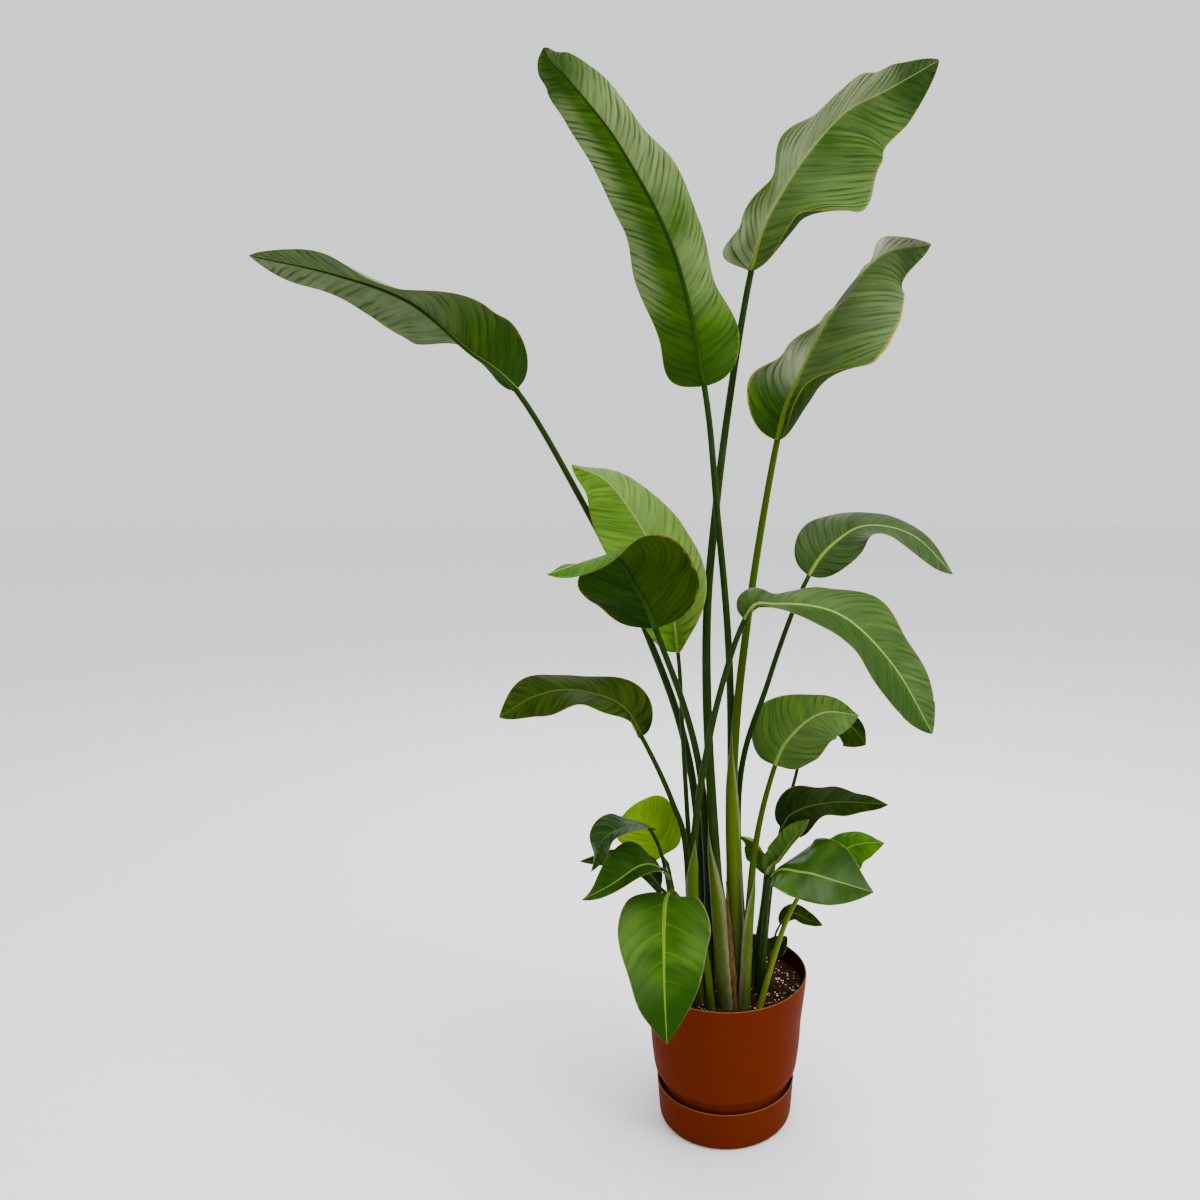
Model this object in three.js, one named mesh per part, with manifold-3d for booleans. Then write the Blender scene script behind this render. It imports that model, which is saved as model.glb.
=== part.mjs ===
// Potted bird of paradise: a clump of paddle-shaped leaves on upright stalks, growing in a
// round tapered pot that stands in its own water tray.
// Millimetres, +Z up. The origin is the centre of the tray's underside, and -Y is the front.
// A leaf is a route for its stalk and midrib, the way its upper side faces, and the width,
// lift and curl of its two halves. Every other point is worked out from those by formula.
import * as THREE from "three";
import { mergeVertices } from "three/addons/utils/BufferGeometryUtils.js";
import Module from "manifold-3d";

const wasm = await Module();
wasm.setup();

// Clearance between pieces that touch, and the plane in which the buried stalks end.
const GAP = 0.3;
const NECK_GAP = 0.9;
const FOOT_Z = 195;
const BURIED = 75;

// Pot, tray and soil.
const ROUND_SEGMENTS = 36;
const POT_FLOOR_UNDER = 24;
const POT_FLOOR_TOP = 27;
const POT_HEIGHT = 278;
const FLOOR_ROUND = 3;
const FOOT_RING_OUTER = 64;
const FOOT_RING_INNER = 60;
const DRAIN_HOLES = 8;
const DRAIN_RADIUS = 4;
const DRAIN_CIRCLE = 88;
const DRILL_LENGTH = 20;
const RING_SLOTS = 4;
const RING_SLOT_WIDTH = 24;
const RING_SLOT_HEIGHT = 12;
const RING_SLOT_DEPTH = 20;
const TRAY_WALL = 2.5;
const TRAY_FLOOR = 4;
const TRAY_HEIGHT = 73;
const SOIL_EDGE_Z = 248;
const SOIL_MIDDLE_Z = 252;
const SOIL_EDGE_RADIUS = 142.6;
const SOIL_CROWN_RADIUS = 90;
const SOIL_GAP = 0.5;
const SOIL_CHAMFER = 4;

// Outer wall of the pot from its floor to just under the lip, as [radius, height].
const POT_SIDE = [
  [116, 28],
  [117.5, 80],
  [119.5, 86],
  [125, 91],
  [130, 97],
  [133, 115],
  [137, 150],
  [139, 192],
  [143.5, 228],
  [146.5, 255],
  [147.5, 270],
];
// The pot's thin rolled lip, from outside to inside.
const POT_LIP = [
  [148, 274],
  [147.5, POT_HEIGHT - 1],
  [146.5, POT_HEIGHT],
  [145.5, POT_HEIGHT],
  [144.8, POT_HEIGHT - 1.5],
];
// Inner wall of the pot, one wall thickness in.
const POT_INSIDE = [
  [113, 30],
  [114.5, 82],
  [116.5, 88.5],
  [122.2, 94],
  [127, 100],
  [130, 116],
  [134.5, 150],
  [136, 190],
  [141, 228],
  [144.8, 268],
];
// Outer wall of the tray from its rounded foot to its rim, as [radius, height].
const TRAY_SIDE = [
  [112, 0],
  [118, 2],
  [121.5, 7],
  [122.5, 14],
  [126.4, 70],
];
// The tray's rim, from outside to inside, and the radius of its flat inner floor.
const TRAY_RIM = [
  [126.6, TRAY_HEIGHT - 1],
  [126, TRAY_HEIGHT],
  [124.6, TRAY_HEIGHT],
  [124, TRAY_HEIGHT - 1],
];
const TRAY_FLOOR_RADIUS = 115;

// Blades.
const BLADE_THICKNESS = 1;
const BASE_CROWDING = 1.15;
const COLLAR = 2.5;
const COLLAR_END = 0.05;
const RIB_DEPTH = 1.3;
const RIB_START = 0.9;
const RIB_TAPER = 0.75;
const TAPER_EASE = 0.8;
const EDGE_MARGIN = 3;
const WAVE_LAG = 0.12;
const WAVE_OFFSET = 0.9;
const RIPPLE_START = 0.02;
const TEAR_BEYOND = 1.15;
const TEAR_STEP = 0.01;
const TEAR_REACH = 20;
const STATIONS = 96;
const FINE_STEPS = 768;
const STRAIGHT = 1e-4;
const STALK_SIDES = 8;
const STALK_STEPS = 6;
const SHEATH_THICKNESS = 2.5;
const SHEATH_FADE = 0.08;
const HOLE_GAP = GAP + 0.1;

// Outline families: where the blade is widest, how square its base and tip are, and how far
// its base lobes reach back beside the stalk.
const PADDLE = { widest: 0.42, baseFill: 2.2, baseRound: 0.5, tipFill: 2.2, tipRound: 0.8, lobe: 0.3 };
const BROAD = { ...PADDLE, baseFill: 3.5 };
const LOBED = { ...BROAD, lobe: 0.6 };
const HOODED = { ...PADDLE, baseFill: 6, tipFill: 3, tipRound: 0.65 };
const HEART = { widest: 0.3, baseFill: 2, baseRound: 0.5, tipFill: 1.9, tipRound: 0.95, lobe: 0.45 };
const OVAL = { widest: 0.42, baseFill: 2, baseRound: 0.5, tipFill: 1.9, tipRound: 0.9, lobe: 0.1 };

// Mesh fineness of a blade: rows along the midrib, columns on each half.
const LARGE = { rows: 16, columns: 4 };
const MEDIUM = { rows: 11, columns: 3 };
const SMALL = { rows: 9, columns: 3 };

// The leaves. root is where the buried stalk ends, stalk runs up to the neck, and rib runs
// from there to the tip. half, lift and curl are spread evenly from base to tip, for the left
// and the right half as seen from the upper side. Widths are in mm, lift and curl in degrees.
// wave is the height of the edge ripple, its count and its start.
const LEAVES = {
  top_left: {
    shape: HOODED, mesh: LARGE, stout: [9, 5], wave: [5, 3, 0.5],
    root: [6, -26], stalk: [[6, -20, 795], [-20, -45, 1135], [-40, -70, 1320]],
    rib: [
      [-85, -110, 1515], [-162, -165, 1656], [-230, -200, 1735], [-258, -205, 1762], [-268, -200, 1782],
    ],
    face: [[0.25, 1, 0], [0.1, 1, 0.2], [-0.1, 0.6, 0.8]],
    left: {
      half: [66, 80, 70, 66, 66, 56, 64, 60],
      lift: [5, 8, 16, 8, 8, 12, 20, 25],
      curl: [30, 50, 72, 60, 45, 60, 55, 40],
    },
    right: {
      half: [80, 72, 86, 66, 58, 66, 85],
      lift: [5, 30, 35, 35, 30, 25, 10],
      curl: [-10, -20, -25, -30, -35, -30, -20],
    },
  },
  top_right: {
    shape: LOBED, mesh: LARGE, stout: [10.5, 5.5], wave: [6, 4, 0], sheath: 0.26,
    root: [3, -80], stalk: [[-35, -45, 795], [-20, -10, 1120], [40, 50, 1520]],
    rib: [[95, 75, 1660], [190, 90, 1780], [275, 85, 1825], [350, 60, 1860]],
    face: [[-0.3, -1, 0.1], [-0.1, -1, 0.2], [0.1, -1, -0.2]],
    left: {
      half: [120, 100, 94, 100, 97, 96, 96, 100, 100],
      lift: [30, 72, 82, 68, 80, 79, 68, 54, 45],
      curl: [20, 20, 20, 15, 10],
    },
    right: {
      half: [110, 140, 142, 118, 110, 105],
      lift: [10, 0, -5, 0, 5, 10],
      curl: [85, 105, 15, 5, 10, 10],
    },
  },
  upper_right: {
    shape: BROAD, mesh: LARGE, stout: [10.5, 5.5], wave: [6, 4, 1], sheath: 0.48,
    root: [25, -53], stalk: [[10, -52, 635], [35, -20, 930], [85, 15, 1235]],
    rib: [[120, 30, 1340], [180, 45, 1455], [260, 50, 1545], [340, 30, 1560]],
    face: [[-0.4, -1, 0.1], [-0.3, -1, 0.1], [0, -1, -0.4]],
    left: {
      half: [78, 102, 96, 90, 85, 85],
      lift: [34, 44, 74, 100, 110, 92, 52, 45],
      curl: [20, 20, 0, 0, 0],
    },
    right: {
      half: [100, 120, 130, 120, 115, 105],
      lift: [0, 0, 0, 5, 10, 20],
      curl: [120, 130, 40, 5, 5, 10],
    },
  },
  far_left: {
    shape: PADDLE, mesh: LARGE, stout: [9, 5], wave: [7, 3, 2],
    root: [-35, -10], stalk: [[-60, 0, 635], [-145, 20, 910], [-260, 30, 1145], [-360, 20, 1320]],
    rib: [[-435, 0, 1385], [-525, -20, 1460], [-640, -40, 1500], [-765, -60, 1525]],
    face: [[0.5, 1, 0.6], [0.2, 0.8, 0.8], [0, 0.8, 0.8]],
    left: { half: [95, 100, 80, 75, 75], lift: [70, 20, -20, -15, -10], curl: [0, -40, 0] },
    right: {
      half: [38, 42, 104, 64, 55, 75],
      lift: [-20, 30, 0, -5, 0, 10],
      curl: [0, 50, 20, 10, -5, -15],
    },
  },
  centre_back: {
    shape: PADDLE, mesh: LARGE, stout: [6, 3.5], wave: [4, 3, 0],
    root: [-48, -28], stalk: [[-75, -35, 690], [-85, -30, 875]],
    rib: [[-110, -40, 1020], [-190, -40, 1155], [-260, -35, 1195]],
    face: [[0.3, -1, 0.2], [0.2, -1, 0.4], [0, -1, 0.5]],
    left: { half: [70, 75, 80, 80], lift: [20, 0, -10], curl: [0, 0, 0] },
    right: { half: [70, 70, 70, 75], lift: [70, 0, -30], curl: [40, -20, -40] },
  },
  centre_front: {
    shape: PADDLE, mesh: LARGE, stout: [9, 5], wave: [5, 3, 0],
    root: [-26, -48], stalk: [[-45, -38, 650], [-120, -105, 930]],
    rib: [[-150, -135, 1005], [-185, -170, 1055], [-275, -230, 1035]],
    face: [[0.2, 1, 0.2], [0, 0.6, 1], [0.1, -0.3, 1]],
    left: { half: [100, 110, 110, 100], lift: [10, 0, 0], curl: [0, 0, 0] },
    right: { half: [120, 100, 60, 60], lift: [20, 0, -20], curl: [0, 0, 0] },
  },
  right_small: {
    shape: PADDLE, mesh: LARGE, stout: [8, 4], wave: [4, 3, 0],
    root: [40, -30], stalk: [[22, 2, 605], [72, -25, 825], [140, -10, 1005]],
    rib: [[205, 10, 1075], [260, 10, 1090], [325, 0, 1070], [385, -20, 1010]],
    face: [[-0.4, -1, 0.3], [-0.1, -1, 0.5], [0, -1, 0.6]],
    left: { half: [70, 70, 65, 60], lift: [20, -20, -20], curl: [0, -60, -60] },
    right: { half: [60, 65, 65, 60], lift: [0, 40, 20], curl: [0, 30, 0] },
  },
  right_arching: {
    shape: PADDLE, mesh: LARGE, stout: [9, 4.5], wave: [4, 3, 0], sheath: 0.42,
    root: [-48, -62], stalk: [[-60, -85, 505], [-30, -115, 755], [25, -135, 950]],
    rib: [[75, -140, 975], [175, -150, 960], [260, -160, 880], [325, -165, 770]],
    face: [[0, -0.6, 1], [0.2, -0.8, 0.7], [0.4, -1, 0.3]],
    left: {
      half: [60, 75, 80, 84, 80, 82, 100],
      lift: [60, 5, -5, 0, -5, -5, -5],
      curl: [-40, -70, -35, -20, -20, -15, -15],
    },
    right: { half: [85, 80, 80, 80], lift: [40, 30, 20], curl: [0, 0, -20] },
    tear: { side: -1, at: 0.9, depth: 0.5, width: 5 },
  },
  right_round: {
    shape: HEART, mesh: MEDIUM, stout: [9, 4.5], wave: [4, 3, 0], sheath: 0.5,
    root: [27, -80], stalk: [[45, -68, 510], [85, -20, 670]],
    rib: [[124, 0, 728], [175, 18, 756], [238, 30, 748]],
    face: [[-0.4, -1, 0.4], [-0.2, -0.8, 0.7], [0, -0.9, 0.6]],
    left: { half: [65, 85, 50, 35], lift: [0, 10, 50], curl: [-30, -10, -20] },
    right: { half: [66, 70, 80, 110], lift: [15, 15, 0], curl: [0, 0, 0] },
  },
  right_hidden: {
    shape: OVAL, mesh: SMALL, stout: [5, 3], wave: [2, 3, 0],
    root: [65, 25], stalk: [[90, 35, 470], [130, 50, 635], [140, 60, 690]],
    rib: [[180, 70, 725], [230, 75, 715], [260, 75, 680]],
    face: [[-0.4, -1, 0.4], [-0.2, -0.8, 0.7], [0.2, -1, 0.3]],
    left: { half: [30, 30], lift: [10, 10], curl: [0, 0] },
    right: { half: [20, 30, 85], lift: [5, 5], curl: [0, 0] },
  },
  right_dark: {
    shape: HEART, mesh: MEDIUM, stout: [7, 3.5], wave: [3, 3, 0],
    root: [60, 4], stalk: [[75, 8, 410], [100, 0, 545]],
    rib: [[130, -10, 585], [195, -25, 605], [280, -50, 610]],
    face: [[-0.3, 0.1, 1], [0, -0.2, 1], [0, -0.3, 1]],
    left: { half: [55, 60, 60, 60], lift: [50, 10, 0], curl: [0, -20, -20] },
    right: { half: [60, 50, 50, 50], lift: [-45, 0, -10], curl: [-60, 0, -20] },
  },
  low_right_back: {
    shape: HEART, mesh: MEDIUM, stout: [7, 3.5], wave: [2, 2, 0],
    root: [42, -92], stalk: [[105, -45, 390], [170, -15, 480]],
    rib: [[220, 0, 510], [255, 0, 520], [285, 0, 520]],
    face: [[-0.3, -0.3, 1], [0, -0.5, 1], [0.2, -0.3, 1]],
    left: { half: [45, 50], lift: [-20, 0, 0], curl: [-20, -20] },
    right: { half: [50, 50], lift: [10, 0, -30], curl: [0, -20] },
  },
  low_right_heart: {
    shape: HEART, mesh: MEDIUM, stout: [7, 3.5], wave: [2, 2, 0],
    root: [60, -50], stalk: [[66, -58, 345], [77, -78, 490]],
    rib: [[127, -105, 510], [182, -130, 505], [240, -150, 495]],
    face: [[0, -0.3, 1], [0, -0.6, 1], [0.1, -0.6, 1]],
    left: { half: [40, 75, 85, 60], lift: [0, 10, 20], curl: [-60, 0, 0] },
    right: { half: [50, 50, 60, 60], lift: [0, -10, -40], curl: [0, 0, -20] },
  },
  low_folded: {
    shape: OVAL, mesh: SMALL, stout: [6, 3.5], wave: [2, 2, 0],
    root: [53, -32], stalk: [[60, -40, 365], [72, -56, 485]],
    rib: [[92, -60, 515], [112, -64, 548], [140, -75, 592]],
    face: [[-1, -0.6, 0.6], [-1, -0.6, 0.5], [-1, -0.6, 0.5]],
    left: { half: [28, 28], lift: [55, 20], curl: [0, 0] },
    right: { half: [28, 28], lift: [55, 25], curl: [0, 0] },
  },
  low_curved: {
    shape: OVAL, mesh: SMALL, stout: [6, 3.5], wave: [1, 2, 0],
    root: [34, -8], stalk: [[60, -8, 360], [70, -15, 465]],
    rib: [[65, -25, 505], [48, -28, 535], [22, -30, 545]],
    face: [[-1, -0.5, -0.5], [-0.4, -0.6, -0.7], [0, -0.6, -1]],
    left: { half: [32, 32], lift: [30, 30], curl: [0, 0] },
    right: { half: [24, 24], lift: [30, 30], curl: [0, 0] },
  },
  left_arching: {
    shape: PADDLE, mesh: MEDIUM, stout: [8, 4], wave: [3, 3, 0],
    root: [-62, -42], stalk: [[-70, -60, 515], [-95, -75, 625], [-145, -95, 745]],
    rib: [[-180, -115, 805], [-250, -140, 835], [-310, -160, 830], [-365, -175, 800]],
    face: [[0.4, 0.5, 1], [0, -0.1, 1], [-0.3, -0.4, 1]],
    left: { half: [50, 55], lift: [-20, 0, -40], curl: [-40, -20, -20] },
    right: { half: [50, 50], lift: [110, 30, 60], curl: [80, -40, 0] },
  },
  low_left_bright: {
    shape: HOODED, mesh: MEDIUM, stout: [5, 3], wave: [2, 2, 0],
    root: [-60, -2], stalk: [[-100, 5, 450], [-115, 8, 490]],
    rib: [[-140, 12, 540], [-155, 15, 570], [-165, 18, 585]],
    face: [[0.2, -1, 0.6], [0.1, -1, 0.5], [0, -1, 0.3]],
    left: { half: [40, 45, 60, 90], lift: [20, 10, 0], curl: [0, 0, 0] },
    right: { half: [45, 55, 60, 80], lift: [0, 0, 0], curl: [-20, 0, 0] },
  },
  low_left_glossy: {
    shape: HEART, mesh: MEDIUM, stout: [5, 3], wave: [2, 2, 0],
    root: [-78, -28], stalk: [[-105, -45, 470], [-135, -70, 575]],
    rib: [[-170, -90, 585], [-210, -110, 570], [-230, -125, 520]],
    face: [[0.2, 0.2, 1], [-0.3, -0.5, 1], [-0.6, -0.8, 0.5]],
    left: { half: [45, 45, 45, 40], lift: [0, 20, -20], curl: [0, 20, -20] },
    right: { half: [45, 45, 45, 40], lift: [0, 10, -30], curl: [-40, 0, -50] },
  },
  low_left_olive: {
    shape: HEART, mesh: MEDIUM, stout: [5, 3], wave: [3, 2, 0],
    root: [-78, -52], stalk: [[-100, -75, 465], [-115, -100, 515]],
    rib: [[-145, -135, 535], [-190, -175, 520], [-236, -203, 506]],
    face: [[0.2, -0.3, 1], [0, -0.6, 1], [-0.3, -0.6, 1]],
    left: { half: [55, 50, 45, 40], lift: [0, 30, 0], curl: [0, 20, 0] },
    right: { half: [55, 50, 45, 40], lift: [0, 20, -10], curl: [0, 0, -30] },
  },
  low_left_shaded: {
    shape: HEART, mesh: MEDIUM, stout: [5, 3], wave: [2, 2, 0],
    root: [-82, -6], stalk: [[-105, -20, 410], [-115, -40, 450]],
    rib: [[-150, -50, 495], [-200, -60, 510], [-255, -70, 515]],
    face: [[0.2, -0.3, 1], [0, -0.3, 1], [-0.3, -0.3, 1]],
    left: { half: [35, 35], lift: [10, 10], curl: [0, 0] },
    right: { half: [35, 35], lift: [10, 10], curl: [0, 0] },
  },
  front_heart: {
    shape: HEART, mesh: MEDIUM, stout: [8, 4], wave: [2, 2, 0],
    root: [-22, -92], stalk: [[-42, -108, 385], [-84, -128, 475], [-99, -149, 492]],
    rib: [[-105, -182, 471], [-105, -205, 370], [-101, -208, 260]],
    face: [[0, -0.7, 1], [0, -1, 0.5], [0, -1, 0.4]],
    left: { half: [78, 78, 84, 78], lift: [10, -15, -10], curl: [0, -20, -10] },
    right: { half: [80, 76, 70, 72], lift: [-10, 30, 10], curl: [0, 10, 0] },
  },
  seedling_curled: {
    shape: OVAL, mesh: SMALL, stout: [3, 2], wave: [1, 2, 0],
    root: [74, -12], stalk: [[84, -8, 318], [100, 8, 360]],
    rib: [[124, 15, 378], [151, 15, 366], [178, 10, 357]],
    face: [[-0.3, -0.6, 1], [0, -0.6, 1], [0, -0.6, 1]],
    left: { half: [18, 18], lift: [20, 10], curl: [0, 0] },
    right: { half: [18, 18], lift: [20, 10], curl: [0, 0] },
  },
  seedling_round: {
    shape: OVAL, mesh: SMALL, stout: [3, 2], wave: [1, 2, 0],
    root: [82, -38], stalk: [[80, -32, 280], [80, -25, 310]],
    rib: [[85, -20, 325], [100, -20, 340], [110, -20, 350]],
    face: [[-0.2, -1, 0.6], [-0.2, -1, 0.6]],
    left: { half: [18, 18], lift: [10, 10], curl: [0, 0] },
    right: { half: [20, 20], lift: [10, 10], curl: [0, 0] },
  },
};

// Dry brown husk of an old leaf base, standing between the front stalks.
const HUSK = {
  route: [[16, -97, FOOT_Z], [12, -98, 300], [5, -98, 390], [-2, -98, 490]],
  half: [5, 5, 4, 1.2],
  cup: 35,
  rows: 9,
};

const FINISH = {
  blade: new THREE.MeshStandardMaterial({ color: 0x4a6b1f, roughness: 0.5, metalness: 0 }),
  stalk: new THREE.MeshStandardMaterial({ color: 0x3f5a22, roughness: 0.55, metalness: 0 }),
  husk: new THREE.MeshStandardMaterial({ color: 0x8a6f4a, roughness: 0.9, metalness: 0 }),
  pot: new THREE.MeshStandardMaterial({ color: 0x7a2d0a, roughness: 0.6, metalness: 0 }),
  soil: new THREE.MeshStandardMaterial({ color: 0x2a1a12, roughness: 1, metalness: 0 }),
};

const radians = THREE.MathUtils.degToRad;
const clamp = THREE.MathUtils.clamp;

/** Value at t (0 to 1) of an evenly spread list of numbers or vectors, eased between its entries. */
function along(values, t) {
  const place = clamp(t, 0, 1) * (values.length - 1);
  const i = Math.min(Math.floor(place), values.length - 2);
  const f = place - i;
  const ease = f * f * (3 - 2 * f);
  const blend = (a, b) => a * (1 - ease) + b * ease;
  return Array.isArray(values[0])
    ? values[i].map((v, k) => blend(v, values[i + 1][k]))
    : blend(values[i], values[i + 1]);
}

/** Even stations, each a point and a direction, on a smooth route from point `from` to point `to`. */
function stationsOf(route, from = 0, to = route.length - 1) {
  const points = route.map((p) => new THREE.Vector3(...p));
  const curve = new THREE.CatmullRomCurve3(points, false, "catmullrom", 0.5);
  const place = (k) => (from + ((to - from) * k) / FINE_STEPS) / (route.length - 1);
  const fine = Array.from({ length: FINE_STEPS + 1 }, (_, k) => curve.getPoint(place(k)));
  const run = [0];
  for (let k = 1; k <= FINE_STEPS; k++) run.push(run[k - 1] + fine[k].distanceTo(fine[k - 1]));
  const stations = [];
  for (let i = 0, k = 0; i <= STATIONS; i++) {
    const want = (run[FINE_STEPS] * i) / STATIONS;
    while (k < FINE_STEPS - 1 && run[k + 1] < want) k++;
    const u = clamp(place(k + (want - run[k]) / (run[k + 1] - run[k])), 0, 1);
    stations.push({ point: curve.getPoint(u), ahead: curve.getTangent(u) });
  }
  return stations;
}

/** Point and direction at t (0 to 1) on a list of evenly spaced stations. */
function stationAt(stations, t) {
  const place = clamp(t, 0, 1) * (stations.length - 1);
  const i = Math.min(Math.floor(place), stations.length - 2);
  return {
    point: stations[i].point.clone().lerp(stations[i + 1].point, place - i),
    ahead: stations[i].ahead.clone().lerp(stations[i + 1].ahead, place - i).normalize(),
  };
}

/** A leaf's whole route, from its buried foot to its tip. */
function routeOf(leaf) {
  return [[...leaf.root, FOOT_Z], ...leaf.stalk, ...leaf.rib];
}

/** Width of a blade at t as a share of its full half width. */
function outline(t, shape) {
  const back = Math.max(0, 1 - t / shape.widest);
  const forward = Math.max(0, (t - shape.widest) / (1 - shape.widest));
  return t < shape.widest
    ? (1 - back ** shape.baseFill) ** shape.baseRound
    : (1 - Math.min(1, forward) ** shape.tipFill) ** shape.tipRound;
}

/** A maker of points on a blade's middle surface, from t, side and distance from the midrib. */
function bladeSurface(leaf) {
  const stations = stationsOf(routeOf(leaf), leaf.stalk.length);
  const ribRadius = (t) => leaf.stout[1] * (RIB_START - RIB_TAPER * t);
  const halfWidth = (t, side) => {
    const half = side < 0 ? leaf.left.half : leaf.right.half;
    return Math.max(along(half, t) * outline(t, leaf.shape), ribRadius(t) + EDGE_MARGIN);
  };
  const place = (t, side, distance) => {
    const { point, ahead } = stationAt(stations, t);
    const facing = new THREE.Vector3(...along(leaf.face, t));
    const up = facing.addScaledVector(ahead, -facing.dot(ahead)).normalize();
    const across = new THREE.Vector3().crossVectors(ahead, up).multiplyScalar(side);
    const form = side < 0 ? leaf.left : leaf.right;
    const width = halfWidth(t, side);
    const s = distance / width;
    const lift = radians(along(form.lift, t));
    const curl = radians(along(form.curl, t));
    const angle = lift + curl * s;
    const bent = Math.abs(curl) > STRAIGHT;
    const reach = bent ? (Math.sin(angle) - Math.sin(lift)) / curl : s * Math.cos(lift);
    const rise = bent ? (Math.cos(lift) - Math.cos(angle)) / curl : s * Math.sin(lift);
    const [height, count, start] = leaf.wave;
    const fade = Math.sqrt(Math.sin(Math.PI * clamp(t, RIPPLE_START, 1 - RIPPLE_START)));
    const ripple = height * s * s * fade *
      Math.sin(2 * Math.PI * count * (t - WAVE_LAG * s) + start + (side > 0 ? WAVE_OFFSET : 0));
    const lobeBack = leaf.shape.lobe * form.half[0] * (distance / form.half[0]) ** 2 *
      Math.max(0, 1 - t / leaf.shape.widest) ** 2;
    point.addScaledVector(across, width * reach);
    point.addScaledVector(up, width * rise + ripple);
    return point.addScaledVector(ahead, NECK_GAP - lobeBack);
  };
  return { place, halfWidth, ribRadius };
}

/** Indexed geometry of a closed skin between an upper and a lower grid of points. */
function skinOf(upper, lower) {
  const rows = upper.length;
  const columns = upper[0].length;
  const positions = [...upper.flat(), ...lower.flat()].flatMap((p) => [p.x, p.y, p.z]);
  const under = rows * columns;
  const at = (i, j) => i * columns + j;
  const faces = [];
  for (let i = 0; i < rows - 1; i++)
    for (let j = 0; j < columns - 1; j++) {
      const [a, b, c, d] = [at(i, j), at(i, j + 1), at(i + 1, j + 1), at(i + 1, j)];
      faces.push(a, b, c, a, c, d);
      faces.push(under + a, under + c, under + b, under + a, under + d, under + c);
    }
  const rim = [];
  for (let j = 0; j < columns - 1; j++) rim.push(at(0, j));
  for (let i = 0; i < rows - 1; i++) rim.push(at(i, columns - 1));
  for (let j = columns - 1; j > 0; j--) rim.push(at(rows - 1, j));
  for (let i = rows - 1; i > 0; i--) rim.push(at(i, 0));
  rim.forEach((a, k) => {
    const b = rim[(k + 1) % rim.length];
    faces.push(b, a, under + a, b, under + a, under + b);
  });
  return indexed(positions, faces);
}

/** BufferGeometry from flat lists of coordinates and vertex numbers. */
function indexed(positions, faces) {
  const geometry = new THREE.BufferGeometry();
  geometry.setAttribute("position", new THREE.Float32BufferAttribute(positions, 3));
  geometry.setIndex(faces);
  return geometry;
}

/** A leaf's blade with its midrib raised on the underside, as one closed thin solid. */
function bladeGeometry(leaf) {
  const surface = bladeSurface(leaf);
  const { rows, columns } = leaf.mesh;
  const places = Array.from({ length: rows }, (_, i) => (i / (rows - 1)) ** BASE_CROWDING);
  const middle = places.map((t) => {
    const rib = surface.ribRadius(t);
    return Array.from({ length: 2 * columns + 1 }, (_, k) => {
      const j = k - columns;
      const side = j < 0 ? -1 : 1;
      const share = Math.max(0, (Math.abs(j) - 1) / (columns - 1));
      return surface.place(t, side, j === 0 ? 0 : rib + (surface.halfWidth(t, side) - rib) * share);
    });
  });
  const raise = (i, j) => (j === columns ? COLLAR * Math.max(0, 1 - places[i] / COLLAR_END) : 0);
  const deepen = (i, j) => (j === columns ? leaf.stout[1] * RIB_DEPTH * (1 - places[i]) ** TAPER_EASE : 0);
  return thickened(middle, raise, deepen);
}

/** Closed skin round a grid of middle points, half a blade thick to each side and more where told. */
function thickened(middle, raise, deepen) {
  const lastRow = middle.length - 1;
  const lastColumn = middle[0].length - 1;
  const normalAt = (i, j) => {
    const forward = middle[Math.min(i + 1, lastRow)][j].clone().sub(middle[Math.max(i - 1, 0)][j]);
    const across = middle[i][Math.min(j + 1, lastColumn)].clone().sub(middle[i][Math.max(j - 1, 0)]);
    return across.cross(forward).normalize();
  };
  const offset = (distance) => middle.map((row, i) =>
    row.map((p, j) => p.clone().addScaledVector(normalAt(i, j), distance(i, j))));
  return skinOf(
    offset((i, j) => BLADE_THICKNESS / 2 + raise(i, j)),
    offset((i, j) => -BLADE_THICKNESS / 2 - deepen(i, j)));
}

/** Tube with a ring at each place along a route, of the radius that radiusAt gives for it. */
function tubeGeometry(stations, places, radiusAt, sunk = 0) {
  const positions = [];
  const faces = [];
  const steps = places.length - 1;
  let side = new THREE.Vector3(1, 0, 0);
  for (const t of places) {
    const { point, ahead } = stationAt(stations, t);
    if (t === 0) point.addScaledVector(ahead, -sunk);
    side = side.clone().addScaledVector(ahead, -side.dot(ahead)).normalize();
    const other = new THREE.Vector3().crossVectors(ahead, side);
    const radius = radiusAt(t);
    for (let k = 0; k < STALK_SIDES; k++) {
      const turn = (2 * Math.PI * (k + 0.5)) / STALK_SIDES;
      const p = point.clone()
        .addScaledVector(side, radius * Math.cos(turn))
        .addScaledVector(other, radius * Math.sin(turn));
      positions.push(p.x, p.y, p.z);
    }
  }
  const at = (i, k) => i * STALK_SIDES + (k % STALK_SIDES);
  for (let i = 0; i < steps; i++)
    for (let k = 0; k < STALK_SIDES; k++)
      faces.push(at(i, k), at(i, k + 1), at(i + 1, k + 1), at(i, k), at(i + 1, k + 1), at(i + 1, k));
  for (let k = 1; k < STALK_SIDES - 1; k++) {
    faces.push(at(0, 0), at(0, k + 1), at(0, k));
    faces.push(at(steps, 0), at(steps, k), at(steps, k + 1));
  }
  return indexed(positions, faces);
}

/** Stations of a leaf's stalk, from the buried foot to the neck. */
function stalkStations(leaf) {
  return stationsOf(routeOf(leaf), 0, leaf.stalk.length);
}

/** Radius of a leaf's stalk at t, with the sheath that wraps its lower part. */
function stalkRadius(leaf, t) {
  const [foot, neck] = leaf.stout;
  const sheath = leaf.sheath ? SHEATH_THICKNESS * clamp((leaf.sheath - t) / SHEATH_FADE, 0, 1) : 0;
  return foot + (neck - foot) * t ** TAPER_EASE + sheath;
}

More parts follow.
